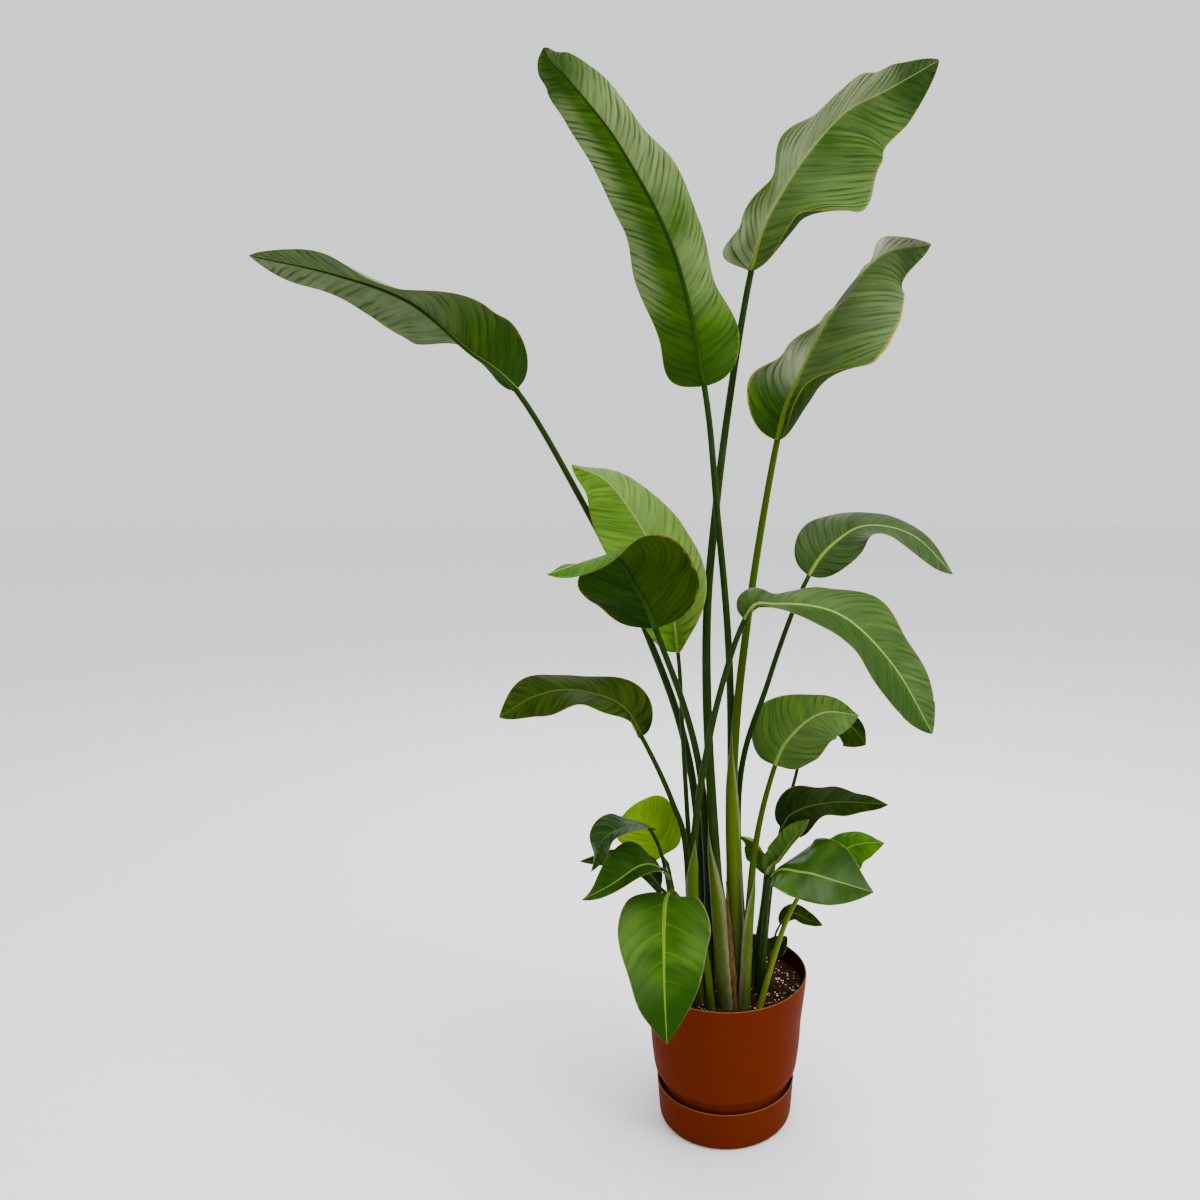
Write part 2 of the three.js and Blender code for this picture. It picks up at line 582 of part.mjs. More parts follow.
/** A leaf's stalk: a tapered tube from its buried foot to the neck. */
function stalkGeometry(leaf) {
  const stations = stalkStations(leaf);
  const surface = buriedShare(stations);
  const places = [0];
  for (let i = 0; i <= STALK_STEPS; i++) places.push(surface + ((1 - surface) * i) / STALK_STEPS);
  return tubeGeometry(stations, places, (t) => stalkRadius(leaf, t));
}

/** The plain hole that a stalk's buried part stands in. */
function stalkHole(leaf) {
  const stations = stalkStations(leaf);
  return tubeGeometry(stations, [0, buriedShare(stations)], (t) => stalkRadius(leaf, t) + HOLE_GAP, GAP);
}

/** Share of a stalk's stations that lies in the soil, or just over it. */
function buriedShare(stations) {
  return stations.findIndex(({ point }) => point.z > FOOT_Z + BURIED) / STATIONS;
}

/** Manifold solid of a geometry, its shared vertices merged. */
function solidOf(geometry) {
  const bare = geometry.clone();
  bare.deleteAttribute("normal");
  bare.deleteAttribute("uv");
  const merged = mergeVertices(bare, 1e-3);
  return new wasm.Manifold(new wasm.Mesh({
    numProp: 3,
    vertProperties: new Float32Array(merged.attributes.position.array),
    triVerts: new Uint32Array(merged.index.array),
  }));
}

/** Geometry of a manifold solid. */
function geometryOf(solid) {
  const mesh = solid.getMesh();
  return indexed(Array.from(mesh.vertProperties), Array.from(mesh.triVerts));
}

/** Solid of revolution from a profile of [radius, height] points. */
function lathe(profile, segments = ROUND_SEGMENTS) {
  const points = profile.map(([r, z]) => new THREE.Vector2(r, z));
  return new THREE.LatheGeometry(points, segments).rotateX(Math.PI / 2);
}

/** The pot: a flared wall with a thin lip, a drained floor, and a slotted ring that it stands on. */
function potGeometry() {
  const profile = [
    [0, POT_FLOOR_UNDER],
    [FOOT_RING_INNER, POT_FLOOR_UNDER],
    [FOOT_RING_INNER, TRAY_FLOOR + GAP],
    [FOOT_RING_OUTER, TRAY_FLOOR + GAP],
    [FOOT_RING_OUTER, POT_FLOOR_UNDER],
    [POT_SIDE[0][0] - FLOOR_ROUND, POT_FLOOR_UNDER],
    ...POT_SIDE,
    ...POT_LIP,
    ...POT_INSIDE.toReversed(),
    [POT_INSIDE[0][0] - FLOOR_ROUND, POT_FLOOR_TOP],
    [0, POT_FLOOR_TOP],
  ];
  let pot = solidOf(lathe(profile));
  for (let k = 0; k < DRAIN_HOLES; k++) {
    const turn = (2 * Math.PI * k) / DRAIN_HOLES;
    const drill = new THREE.CylinderGeometry(DRAIN_RADIUS, DRAIN_RADIUS, DRILL_LENGTH, 10)
      .rotateX(Math.PI / 2)
      .translate(DRAIN_CIRCLE * Math.cos(turn), DRAIN_CIRCLE * Math.sin(turn), POT_FLOOR_TOP);
    pot = pot.subtract(solidOf(drill));
  }
  for (let k = 0; k < RING_SLOTS; k++) {
    const turn = (2 * Math.PI * (k + 0.5)) / RING_SLOTS;
    const slot = new THREE.BoxGeometry(RING_SLOT_DEPTH, RING_SLOT_WIDTH, RING_SLOT_HEIGHT)
      .translate(FOOT_RING_OUTER, 0, TRAY_FLOOR + RING_SLOT_HEIGHT / 2 - 1)
      .rotateZ(turn);
    pot = pot.subtract(solidOf(slot));
  }
  return geometryOf(pot);
}

/** The water tray: a shallow round dish that holds the pot's lower part. */
function trayGeometry() {
  const inside = TRAY_SIDE.slice(2).map(([r, z]) => [r - TRAY_WALL, z]).reverse();
  const floor = [[TRAY_FLOOR_RADIUS, TRAY_FLOOR], [0, TRAY_FLOOR]];
  return lathe([[0, 0], ...TRAY_SIDE, ...TRAY_RIM, ...inside, ...floor]);
}

/** The soil: fills the pot to under its rim, with a plain hole for each stalk. */
function soilGeometry() {
  const wall = POT_INSIDE.filter(([, z]) => z < SOIL_EDGE_Z).map(([r, z]) => [r - SOIL_GAP, z]);
  const [lowRadius] = wall[0];
  const profile = [
    [0, POT_FLOOR_TOP + GAP],
    [lowRadius - SOIL_CHAMFER, POT_FLOOR_TOP + GAP],
    ...wall,
    [SOIL_EDGE_RADIUS, SOIL_EDGE_Z],
    [SOIL_CROWN_RADIUS, (SOIL_EDGE_Z + SOIL_MIDDLE_Z) / 2],
    [0, SOIL_MIDDLE_Z],
  ];
  let soil = solidOf(lathe(profile));
  for (const leaf of Object.values(LEAVES)) soil = soil.subtract(solidOf(stalkHole(leaf)));
  return geometryOf(soil.subtract(solidOf(huskGeometry(2 * GAP))));
}

/** The dry husk: a slim strip, cupped round the stalks behind it. */
function huskGeometry(extra = 0) {
  const stations = stationsOf(HUSK.route);
  const cup = radians(HUSK.cup);
  const middle = Array.from({ length: HUSK.rows }, (_, i) => {
    const t = i / (HUSK.rows - 1);
    const { point, ahead } = stationAt(stations, t);
    const front = new THREE.Vector3(0, -1, 0);
    const up = front.addScaledVector(ahead, -front.dot(ahead)).normalize();
    const across = new THREE.Vector3().crossVectors(ahead, up);
    const reach = (along(HUSK.half, t) + extra) / Math.sin(cup);
    return [-1, -0.5, 0, 0.5, 1].map((s) => point.clone()
      .addScaledVector(across, reach * Math.sin(cup * s))
      .addScaledVector(up, reach * (Math.cos(cup * s) - 1)));
  });
  return thickened(middle, () => extra, () => extra);
}

/** A blade with a slim wedge torn out of its edge. */
function tornBlade(leaf) {
  const { side, at, depth, width } = leaf.tear;
  const surface = bladeSurface(leaf);
  const edge = surface.halfWidth(at, side);
  const inner = surface.place(at, side, edge * (1 - depth));
  const outer = surface.place(at, side, edge * TEAR_BEYOND);
  const ahead = surface.place(at + TEAR_STEP, side, edge * TEAR_BEYOND).sub(outer).normalize();
  const through = outer.clone().sub(inner).cross(ahead).normalize().multiplyScalar(TEAR_REACH);
  const half = ahead.multiplyScalar(width / 2);
  const corners = [inner, outer.clone().sub(half), outer.clone().add(half)];
  const above = corners.map((p) => p.clone().add(through));
  const below = corners.map((p) => p.clone().sub(through));
  const faces = [0, 1, 2, 3, 5, 4, 0, 3, 4, 0, 4, 1, 1, 4, 5, 1, 5, 2, 2, 5, 3, 2, 3, 0];
  const positions = [...above, ...below].flatMap((p) => [p.x, p.y, p.z]);
  let wedge = solidOf(indexed(positions, faces));
  if (wedge.volume() < 0) wedge = solidOf(indexed(positions, faces.reverse()));
  return geometryOf(solidOf(bladeGeometry(leaf)).subtract(wedge));
}

/** A named mesh, added to the plant. */
function addPiece(group, name, geometry, material) {
  const mesh = new THREE.Mesh(geometry, material);
  mesh.name = name;
  group.add(mesh);
}

const plant = new THREE.Group();
addPiece(plant, "water_tray", trayGeometry(), FINISH.pot);
addPiece(plant, "pot", potGeometry(), FINISH.pot);
addPiece(plant, "soil", soilGeometry(), FINISH.soil);
addPiece(plant, "dry_husk", huskGeometry(), FINISH.husk);
for (const [name, leaf] of Object.entries(LEAVES)) {
  addPiece(plant, `${name}_stalk`, stalkGeometry(leaf), FINISH.stalk);
  addPiece(plant, `${name}_blade`, leaf.tear ? tornBlade(leaf) : bladeGeometry(leaf), FINISH.blade);
}

export default plant;
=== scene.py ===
"""Potted bird of paradise, dressed: fine leaves, stalks, sheaths and husk, pot, tray and potting mix.

Metres, +Z up, the front faces -Y. Each leaf is drawn from the same route, widths, lifts and
curls as its plain solid, in a finer mesh; those values are in millimetres and degrees.
"""

import logging
import math
import random
from dataclasses import dataclass
from enum import Enum, IntEnum
from functools import cache
from typing import Callable, Optional, Protocol, Sequence, Union

import bmesh
import bpy
from mathutils import Euler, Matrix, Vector, noise


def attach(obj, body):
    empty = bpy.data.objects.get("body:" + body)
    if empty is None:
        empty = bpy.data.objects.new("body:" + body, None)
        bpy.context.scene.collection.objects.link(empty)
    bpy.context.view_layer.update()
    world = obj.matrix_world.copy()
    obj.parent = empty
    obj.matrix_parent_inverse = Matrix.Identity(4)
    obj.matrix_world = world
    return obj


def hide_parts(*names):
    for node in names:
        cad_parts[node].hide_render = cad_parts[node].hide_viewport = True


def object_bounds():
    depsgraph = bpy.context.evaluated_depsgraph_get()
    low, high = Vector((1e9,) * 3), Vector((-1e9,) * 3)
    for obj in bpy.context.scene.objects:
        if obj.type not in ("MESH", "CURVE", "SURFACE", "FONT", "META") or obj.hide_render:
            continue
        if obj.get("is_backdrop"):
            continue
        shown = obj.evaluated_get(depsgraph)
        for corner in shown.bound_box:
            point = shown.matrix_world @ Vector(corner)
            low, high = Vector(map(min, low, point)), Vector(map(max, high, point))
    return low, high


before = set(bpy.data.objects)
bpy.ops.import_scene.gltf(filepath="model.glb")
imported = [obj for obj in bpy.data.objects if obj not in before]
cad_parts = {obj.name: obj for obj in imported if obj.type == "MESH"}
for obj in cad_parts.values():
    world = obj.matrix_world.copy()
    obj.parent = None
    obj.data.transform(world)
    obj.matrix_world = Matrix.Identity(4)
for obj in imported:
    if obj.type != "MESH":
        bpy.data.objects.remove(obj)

CAD_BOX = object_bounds()
LOG = logging.getLogger("bird_of_paradise")
MM = 0.001
BODY = "root"
CLOSE = 1e-4  # Angles and distances under this count as none.

Colour = tuple[float, float, float]
Triple = tuple[float, float, float]
Profile = Sequence[tuple[float, float]]


def clamp(value: float, low: float = 0.0, high: float = 1.0) -> float:
    """The value held between low and high."""
    return max(low, min(high, value))


def ease(value: float) -> float:
    """Smooth step of a share from 0 to 1."""
    share = clamp(value)
    return share * share * (3 - 2 * share)


def along(values: Sequence, t: float) -> Union[float, Vector]:
    """Value at a share of a list that is spread evenly, eased between its entries.

    Args:
        values: numbers or equally long tuples, at least two.
        t: place along the list, 0 to 1.

    Returns:
        A number, or a Vector where the entries are tuples.
    """
    place = clamp(t) * (len(values) - 1)
    first = min(int(place), len(values) - 2)
    share = ease(place - first)
    if isinstance(values[0], (int, float)):
        return values[first] * (1 - share) + values[first + 1] * share
    return Vector(values[first]) * (1 - share) + Vector(values[first + 1]) * share


# Shader nodes.


class Wire:
    """A shader value; arithmetic on it adds Math nodes."""

    def __init__(self, sheet: "NodeSheet", socket: bpy.types.NodeSocket) -> None:
        """Keep the node sheet and the output socket that carries the value."""
        self.sheet = sheet
        self.socket = socket

    def _math(self, operation: str, *values: "Value") -> "Wire":
        """Result of one Math node on the given values."""
        sockets = dict(enumerate(values))
        return self.sheet.add("ShaderNodeMath", {"operation": operation}, sockets)[0]

    def __add__(self, other: "Value") -> "Wire":
        """This value plus another."""
        return self._math("ADD", self, other)

    __radd__ = __add__

    def __sub__(self, other: "Value") -> "Wire":
        """This value less another."""
        return self._math("SUBTRACT", self, other)

    def __rsub__(self, other: "Value") -> "Wire":
        """Another value less this one."""
        return self._math("SUBTRACT", other, self)

    def __mul__(self, other: "Value") -> "Wire":
        """This value times another."""
        return self._math("MULTIPLY", self, other)

    __rmul__ = __mul__

    def __pow__(self, other: "Value") -> "Wire":
        """This value to a power."""
        return self._math("POWER", self, other)

    def __abs__(self) -> "Wire":
        """Size of this value."""
        return self._math("ABSOLUTE", self)

    def sine(self) -> "Wire":
        """Sine of this value in radians."""
        return self._math("SINE", self)

    def fraction(self) -> "Wire":
        """What is left of this value over its whole number."""
        return self._math("FRACT", self)

    def most(self, other: "Value") -> "Wire":
        """The larger of this value and another."""
        return self._math("MAXIMUM", self, other)

    def ramp(self, start: float, end: float) -> "Wire":
        """Smooth share from 0 at start to 1 at end."""
        values = {"Value": self, "From Min": start, "From Max": end}
        return self.sheet.add("ShaderNodeMapRange", {"interpolation_type": "SMOOTHSTEP"}, values)[0]


Value = Union[Wire, float]
Paint = Union[Wire, Colour]


class Outputs:
    """Output sockets of a node, read as wires by name or number."""

    def __init__(self, sheet: "NodeSheet", node: bpy.types.Node) -> None:
        """Keep the node sheet and the node."""
        self.sheet = sheet
        self.node = node

    def __getitem__(self, key: Union[int, str]) -> Wire:
        """One output socket as a wire."""
        return Wire(self.sheet, self.node.outputs[key])


class NodeSheet:
    """The nodes of one material."""

    mix_share, mix_first, mix_second, mix_result = 0, 6, 7, 2

    def __init__(self, name: str) -> None:
        """Start a material that holds only its output node."""
        self.material = bpy.data.materials.new(name)
        self.material.use_nodes = True
        self.tree = self.material.node_tree
        self.tree.nodes.clear()
        self.output = self.tree.nodes.new("ShaderNodeOutputMaterial")

    def add(self, kind: str, settings: Optional[dict] = None, sockets: Optional[dict] = None) -> Outputs:
        """Add any node.

        Args:
            kind: the node's type.
            settings: its own settings, which are made first.
            sockets: values or wires of its input sockets, by name or number.

        Returns:
            The node's outputs.
        """
        node = self.tree.nodes.new(kind)
        for key, value in (settings or {}).items():
            setattr(node, key, value)
        for key, value in (sockets or {}).items():
            if isinstance(value, Wire):
                self.tree.links.new(value.socket, node.inputs[key])
            else:
                node.inputs[key].default_value = value
        return Outputs(self, node)

    def blend(self, share: Value, first: Paint, second: Paint) -> Wire:
        """Colour between two colours, by a share."""
        sockets = {
            self.mix_share: share,
            self.mix_first: self._colour(first),
            self.mix_second: self._colour(second),
        }
        settings = {"data_type": "RGBA", "clamp_factor": True}
        return self.add("ShaderNodeMix", settings, sockets)[self.mix_result]

    @staticmethod
    def _colour(value: Paint) -> Union[Wire, tuple[float, float, float, float]]:
        """A colour with its alpha, or a wire as it is."""
        return value if isinstance(value, Wire) else (*value, 1.0)

    def position(self) -> Wire:
        """Object coordinates."""
        return self.add("ShaderNodeTexCoord")["Object"]

    def split(self, vector: Wire) -> tuple[Wire, Wire, Wire]:
        """The three numbers of a vector."""
        parts = self.add("ShaderNodeSeparateXYZ", sockets={0: vector})
        return parts[0], parts[1], parts[2]

    def chart(self, name: str) -> tuple[Wire, Wire]:
        """The two coordinates of one of the piece's own UV maps."""
        across, length, _ = self.split(self.add("ShaderNodeUVMap", {"uv_map": name})[0])
        return across, length

    def vector(self, x: Value, y: Value, z: Value = 0.0) -> Wire:
        """A vector from three numbers."""
        return self.add("ShaderNodeCombineXYZ", sockets={0: x, 1: y, 2: z})[0]

    def noise(self, vector: Wire, scale: float, detail: float = 2.0, rough: float = 0.5) -> Wire:
        """Noise from 0 to 1 at a vector."""
        sockets = {"Vector": vector, "Scale": scale, "Detail": detail, "Roughness": rough}
        return self.add("ShaderNodeTexNoise", sockets=sockets)[0]

    def finish(self, sockets: dict, height: Optional[Wire] = None,
               depth: float = 0.0) -> bpy.types.Material:
        """Close the material with its main shader.

        Args:
            sockets: values or wires of the shader's own sockets.
            height: relief from 0 to 1 for the bump, if any.
            depth: what a height of 1 stands for, in metres.

        Returns:
            The finished material.
        """
        sockets = {key: self._colour(v) if isinstance(v, tuple) else v for key, v in sockets.items()}
        if height is not None:
            relief = {"Height": height, "Distance": depth, "Strength": 1.0}
            sockets["Normal"] = self.add("ShaderNodeBump", sockets=relief)[0]
        shader = self.add("ShaderNodeBsdfPrincipled", sockets=sockets)
        self.tree.links.new(shader[0].socket, self.output.inputs["Surface"])
        return self.material


# Finishes. The leaf chart runs across or round a piece and along it. The vein chart holds the
# distance from the midrib, as a share of RIB_REACH radii of it, and the way along the midrib to
# where the side vein there leaves it, in metres.

LEAF_CHART = "leaf"
VEIN_CHART = "vein"
RIB_REACH = 8.0


class Finish(Protocol):
    """What every finish offers. Its lengths are in millimetres."""

    def material(self) -> bpy.types.Material:
        """The finish's material."""


def darker(colour: Colour, share: float) -> Colour:
    """A colour with its brightness taken down to a share."""
    return tuple(part * share for part in colour)


@dataclass(frozen=True)
class BladeFinish:
    """One side of a leaf blade: pleats along its side veins, painted sheen, midrib and margin; its crease
    colours paint light and shade, and its pleats, tip, foot and right half can carry painted shade.
    """

    name: str
    # The lit and the shadowed colour are lit and shaded copies of one green; the creases mix them as
    # painted light and shade.
    lit: Colour
    shadowed: Colour
    rib: Colour
    vein: Colour = (0.08, 0.15, 0.004)
    margin: Colour = (0.20, 0.20, 0.02)
    # Painted sheen: a grey reflection of the bright surroundings, painted over each half in the shares
    # below.
    sheen: Colour = (0.13, 0.17, 0.07)
    sheen_left: float = 0.15
    sheen_right: float = 0.15
    sheen_from: float = 0.0
    sheen_foot: float = 0.0
    # Painted shade towards the tip, towards the foot and over the right half.
    tip_shade: float = 0.0
    tip_from: float = 0.8
    tip_to: float = 0.93
    base_shade: float = 0.0
    shade_right: float = 0.0
    roughness: float = 0.5
    specular: float = 0.15
    coat: float = 0.0
    relief: float = 1.2
    rib_width: float = 1.0
    groove: float = 0.3
    pleat_pitch: float = 15.0
    pleat_depth: float = 0.8
    crease_pitch: float = 5.0
    vein_pitch: float = 15.0
    vein_weight: float = 0.2
    vein_sharp: float = 0.93
    dryness: float = 0.1

    drift_scale = 9.0
    drift_reach = 6 * MM
    half_offset = 31 * MM
    cloud_scale = 8.0
    fleck_scale = 60.0
    # Brightness of the painted shade, as a share of the shadowed colour.
    dark_share = 0.8
    crease_height = 0.4
    pleat_height = 1.4
    coat_roughness = 0.22
    rib_cover = 0.9

    def material(self) -> bpy.types.Material:
        """The side's material."""
        sheet = NodeSheet(self.name)
        vector = sheet.position()
        across, length = sheet.chart(LEAF_CHART)
        rib_share, run = sheet.chart(VEIN_CHART)
        side = abs(across * 2 - 1)
        half = across.ramp(0.495, 0.505)
        drift = sheet.noise(vector, self.drift_scale)
        place = run + drift * self.drift_reach + half * self.half_offset
        cloud = sheet.noise(vector, self.cloud_scale, 3.0)
        crease = self._creases(sheet, place, side)
        pleat = self._pleats(sheet, place, side)
        line = (place * (math.tau / (self.vein_pitch * MM))).sine().ramp(self.vein_sharp, 1.0)
        rib_edge = self.rib_cover * self.rib_width / RIB_REACH
        rib = 1 - rib_share.ramp(rib_edge * 0.7, rib_edge * 1.3)
        flecks = sheet.noise(vector, self.fleck_scale, 4.0, 0.7)
        dry = side.ramp(0.93, 0.995) * flecks.ramp(0.66 - self.dryness, 0.72 - self.dryness)
        # Painted light and shade: raised creases take the lit colour, sunk ones the shadowed colour.
        body = sheet.blend(crease, self.shadowed, self.lit)
        sheen_share = self._sheen(cloud, half, side, length)
        # Painted sheen over the body colour.
        body = sheet.blend(sheen_share * (0.7 + crease * 0.3), body, self.sheen)
        # Painted shade in the pleats' grooves.
        body = sheet.blend(pleat * self.pleat_depth, body, darker(self.shadowed, 0.75))
        body = sheet.blend(line * self.vein_weight * (1 - side * 0.5), body, self.vein)
        body = self._shaded(sheet, body, half, side, length)
        body = sheet.blend(rib * (1 - length * 0.4), body, self.rib)
        body = sheet.blend(side.ramp(0.97, 0.995) * 0.5, body, self.margin)
        body = sheet.blend(dry, body, darker(self.margin, 0.7))
        sockets = {
            "Base Color": body,
            "Roughness": self.roughness + (cloud - 0.5) * 0.2 + dry * 0.3,
            "Coat Weight": self.coat,
            "Coat Roughness": self.coat_roughness,
            "Specular IOR Level": self.specular,
        }
        height = crease * self.crease_height + line * self.vein_weight
        height = height - pleat * self.pleat_depth * self.pleat_height - rib * self.groove
        return sheet.finish(sockets, height, self.relief * MM)

    def _sheen(self, cloud: Wire, half: Wire, side: Wire, length: Wire) -> Wire:
        """Share of painted sheen, a grey reflection of the bright surroundings: cloudy, and where asked
        none near the foot or by the right half's midrib.
        """
        sheen_share = (half * (self.sheen_right - self.sheen_left) + self.sheen_left) * cloud.ramp(0.2, 0.6)
        if self.sheen_from > 0:
            sheen_share = sheen_share * (half * (side.ramp(self.sheen_from * 0.6, self.sheen_from * 1.5) - 1) + 1)
        if self.sheen_foot > 0:
            sheen_share = sheen_share * length.ramp(self.sheen_foot * 0.6, self.sheen_foot * 1.4)
        return sheen_share

    def _shaded(self, sheet: NodeSheet, body: Wire, half: Wire, side: Wire, length: Wire) -> Wire:
        """The body colour with painted shade: darker towards the tip or the foot or over the right half
        where asked.
        """
        dark = darker(self.shadowed, self.dark_share)
        if self.tip_shade > 0:
            body = sheet.blend(length.ramp(self.tip_from, self.tip_to) * self.tip_shade, body, dark)
        if self.base_shade > 0:
            body = sheet.blend((1 - length.ramp(0.03, 0.25)) * self.base_shade, body, dark)
        if self.shade_right > 0:
            body = sheet.blend(half * self.shade_right * side.ramp(0.05, 0.35), body, self.shadowed)
        return body

    def _creases(self, sheet: NodeSheet, place: Wire, side: Wire) -> Wire:
        """Fine uneven creases that follow the side veins."""
        fine = place * (1 / (self.crease_pitch * MM))
        small = sheet.noise(sheet.vector(fine, side * 1.2), 1.0, 3.0, 0.55)
        broad = sheet.noise(sheet.vector(fine * 0.25, side * 0.9, 3.0), 1.0, 1.0)
        return small.ramp(0.3, 0.7) * 0.5 + broad.ramp(0.35, 0.65) * 0.5

    def _pleats(self, sheet: NodeSheet, place: Wire, side: Wire) -> Wire:
        """Uneven pleats, for the bump and for painted shade: each one darkens slowly and ends in a sharp
        line.
        """
        pitch = self.pleat_pitch * MM
        warp = sheet.noise(sheet.vector(place * (0.35 / pitch), side * 0.8, 5.0), 1.0, 2.0)
        count = place * (1 / pitch) + warp * 1.8
        saw = count.fraction()
        strength = sheet.noise(sheet.vector(count * 0.5, side * 1.4, 8.0), 1.0, 1.0).ramp(0.32, 0.6)
        fall = saw.ramp(0.3, 0.93) ** 1.6 * (1 - saw.ramp(0.95, 1.0))
        return fall * strength * (0.35 + side.ramp(0.0, 0.7) * 0.65)


@dataclass(frozen=True)
class StalkFinish:
    """A leaf stalk or sheath: fine lengthwise lines, paler towards the soil."""

    name: str
    foot: Colour
    upper: Colour
    fade_from: float = 0.02
    fade_to: float = 0.45
    edge: Optional[Colour] = None
    streaks: float = 0.9
    roughness: float = 0.4
    specular: float = 0.06
    relief: float = 0.5

    blotch_scale = 30.0

    def material(self) -> bpy.types.Material:
        """The stalk's material."""
        sheet = NodeSheet(self.name)
        vector = sheet.position()
        around, length = sheet.chart(LEAF_CHART)
        grain = sheet.vector((around * math.tau).sine() * 6, around * 9, length * 5)
        lines = sheet.noise(grain, 4.0, 4.0)
        blotch = sheet.noise(vector, self.blotch_scale, 3.0)
        body = sheet.blend(length.ramp(self.fade_from, self.fade_to), self.foot, self.upper)
        body = sheet.blend((lines - 0.4).most(0.0) * self.streaks, body, darker(self.upper, 0.5))
        body = sheet.blend((blotch - 0.55).most(0.0) * 1.5, body, darker(self.foot, 0.6))
        if self.edge is not None:
            rim = abs(around * 2 - 1).ramp(0.6, 0.95) * lines.ramp(0.35, 0.6)
            body = sheet.blend(rim, body, self.edge)
        sockets = {
            "Base Color": body,
            "Roughness": self.roughness + (blotch - 0.5) * 0.2,
            "Specular IOR Level": self.specular,
        }
        return sheet.finish(sockets, lines, self.relief * MM)


@dataclass(frozen=True)
class HuskFinish:
    """Dry papery leaf base: brown and grey fibres."""

    name: str = "dry_husk_paper"
    pale: Colour = (0.15, 0.085, 0.022)
    dark: Colour = (0.016, 0.007, 0.002)
    roughness: float = 0.9
    specular: float = 0.05
    relief: float = 0.8

    def material(self) -> bpy.types.Material:
        """The husk's material."""
        sheet = NodeSheet(self.name)
        across, length = sheet.chart(LEAF_CHART)
        fibre = sheet.noise(sheet.vector(across * 12, length * 2.5), 3.0, 5.0, 0.65)
        patch = sheet.noise(sheet.vector(across * 2, length * 7, 4.0), 2.0, 3.0)
        body = sheet.blend((fibre * 0.75 + patch * 0.25).ramp(0.42, 0.6), self.dark, self.pale)
        sockets = {"Base Color": body, "Roughness": self.roughness, "Specular IOR Level": self.specular}
        return sheet.finish(sockets, fibre, self.relief * MM)


@dataclass(frozen=True)
class PotFinish:
    """Matte through-coloured plastic with a soft moulded skin, and a painted highlight along the top of its
    lip.
    """

    name: str = "burnt_terracotta_plastic"
    body: Colour = (0.082, 0.009, 0.0)
    dusty: Colour = (0.096, 0.013, 0.0)
    # Painted highlight: a light line along the top of the lip.
    rim: Colour = (0.22, 0.08, 0.025)
    highlight_from: float = 276.6
    highlight_to: float = 277.7
    roughness: float = 0.58
    specular: float = 0.02
    relief: float = 0.06

    cloud_scale = 7.0
    grain_scale = 900.0

    def material(self) -> bpy.types.Material:
        """The pot's material."""
        sheet = NodeSheet(self.name)
        vector = sheet.position()
        _, _, z = sheet.split(vector)
        cloud = sheet.noise(vector, self.cloud_scale, 4.0)
        grain = sheet.noise(vector, self.grain_scale, 2.0, 0.6)
        body = sheet.blend(cloud.ramp(0.4, 0.75) * 0.35, self.body, self.dusty)
        # Painted highlight along the lip's top.
        body = sheet.blend(z.ramp(self.highlight_from * MM, self.highlight_to * MM) * 0.8, body, self.rim)
        sockets = {
            "Base Color": body,
            "Roughness": self.roughness + (cloud - 0.5) * 0.1,
            "Specular IOR Level": self.specular,
        }
        return sheet.finish(sockets, grain, self.relief * MM)


@dataclass(frozen=True)
class CrumbFinish:
    """Loose crumbs of potting mix: bark, peat or white grains."""

    name: str
    dark: Colour
    pale: Colour
    scale: float
    relief: float
    roughness: float = 0.95
    specular: float = 0.03

    def material(self) -> bpy.types.Material:
        """The crumbs' material."""
        sheet = NodeSheet(self.name)
        vector = sheet.position()
        coarse = sheet.noise(vector, self.scale, 5.0, 0.7)
        cells = sheet.add("ShaderNodeTexVoronoi", sockets={"Vector": vector, "Scale": self.scale * 0.7})[0]
        body = sheet.blend((coarse + cells * 0.5).ramp(0.45, 1.0), self.dark, self.pale)
        sockets = {"Base Color": body, "Roughness": self.roughness, "Specular IOR Level": self.specular}
        return sheet.finish(sockets, coarse, self.relief * MM)


@dataclass(frozen=True)
class FloorFinish:
    """Plain pale studio floor."""

    name: str = "pale_floor"
    colour: Colour = (0.94, 0.94, 0.94)
    roughness: float = 0.9

    def material(self) -> bpy.types.Material:
        """The floor's material."""
        return NodeSheet(self.name).finish({"Base Color": self.colour, "Roughness": self.roughness})


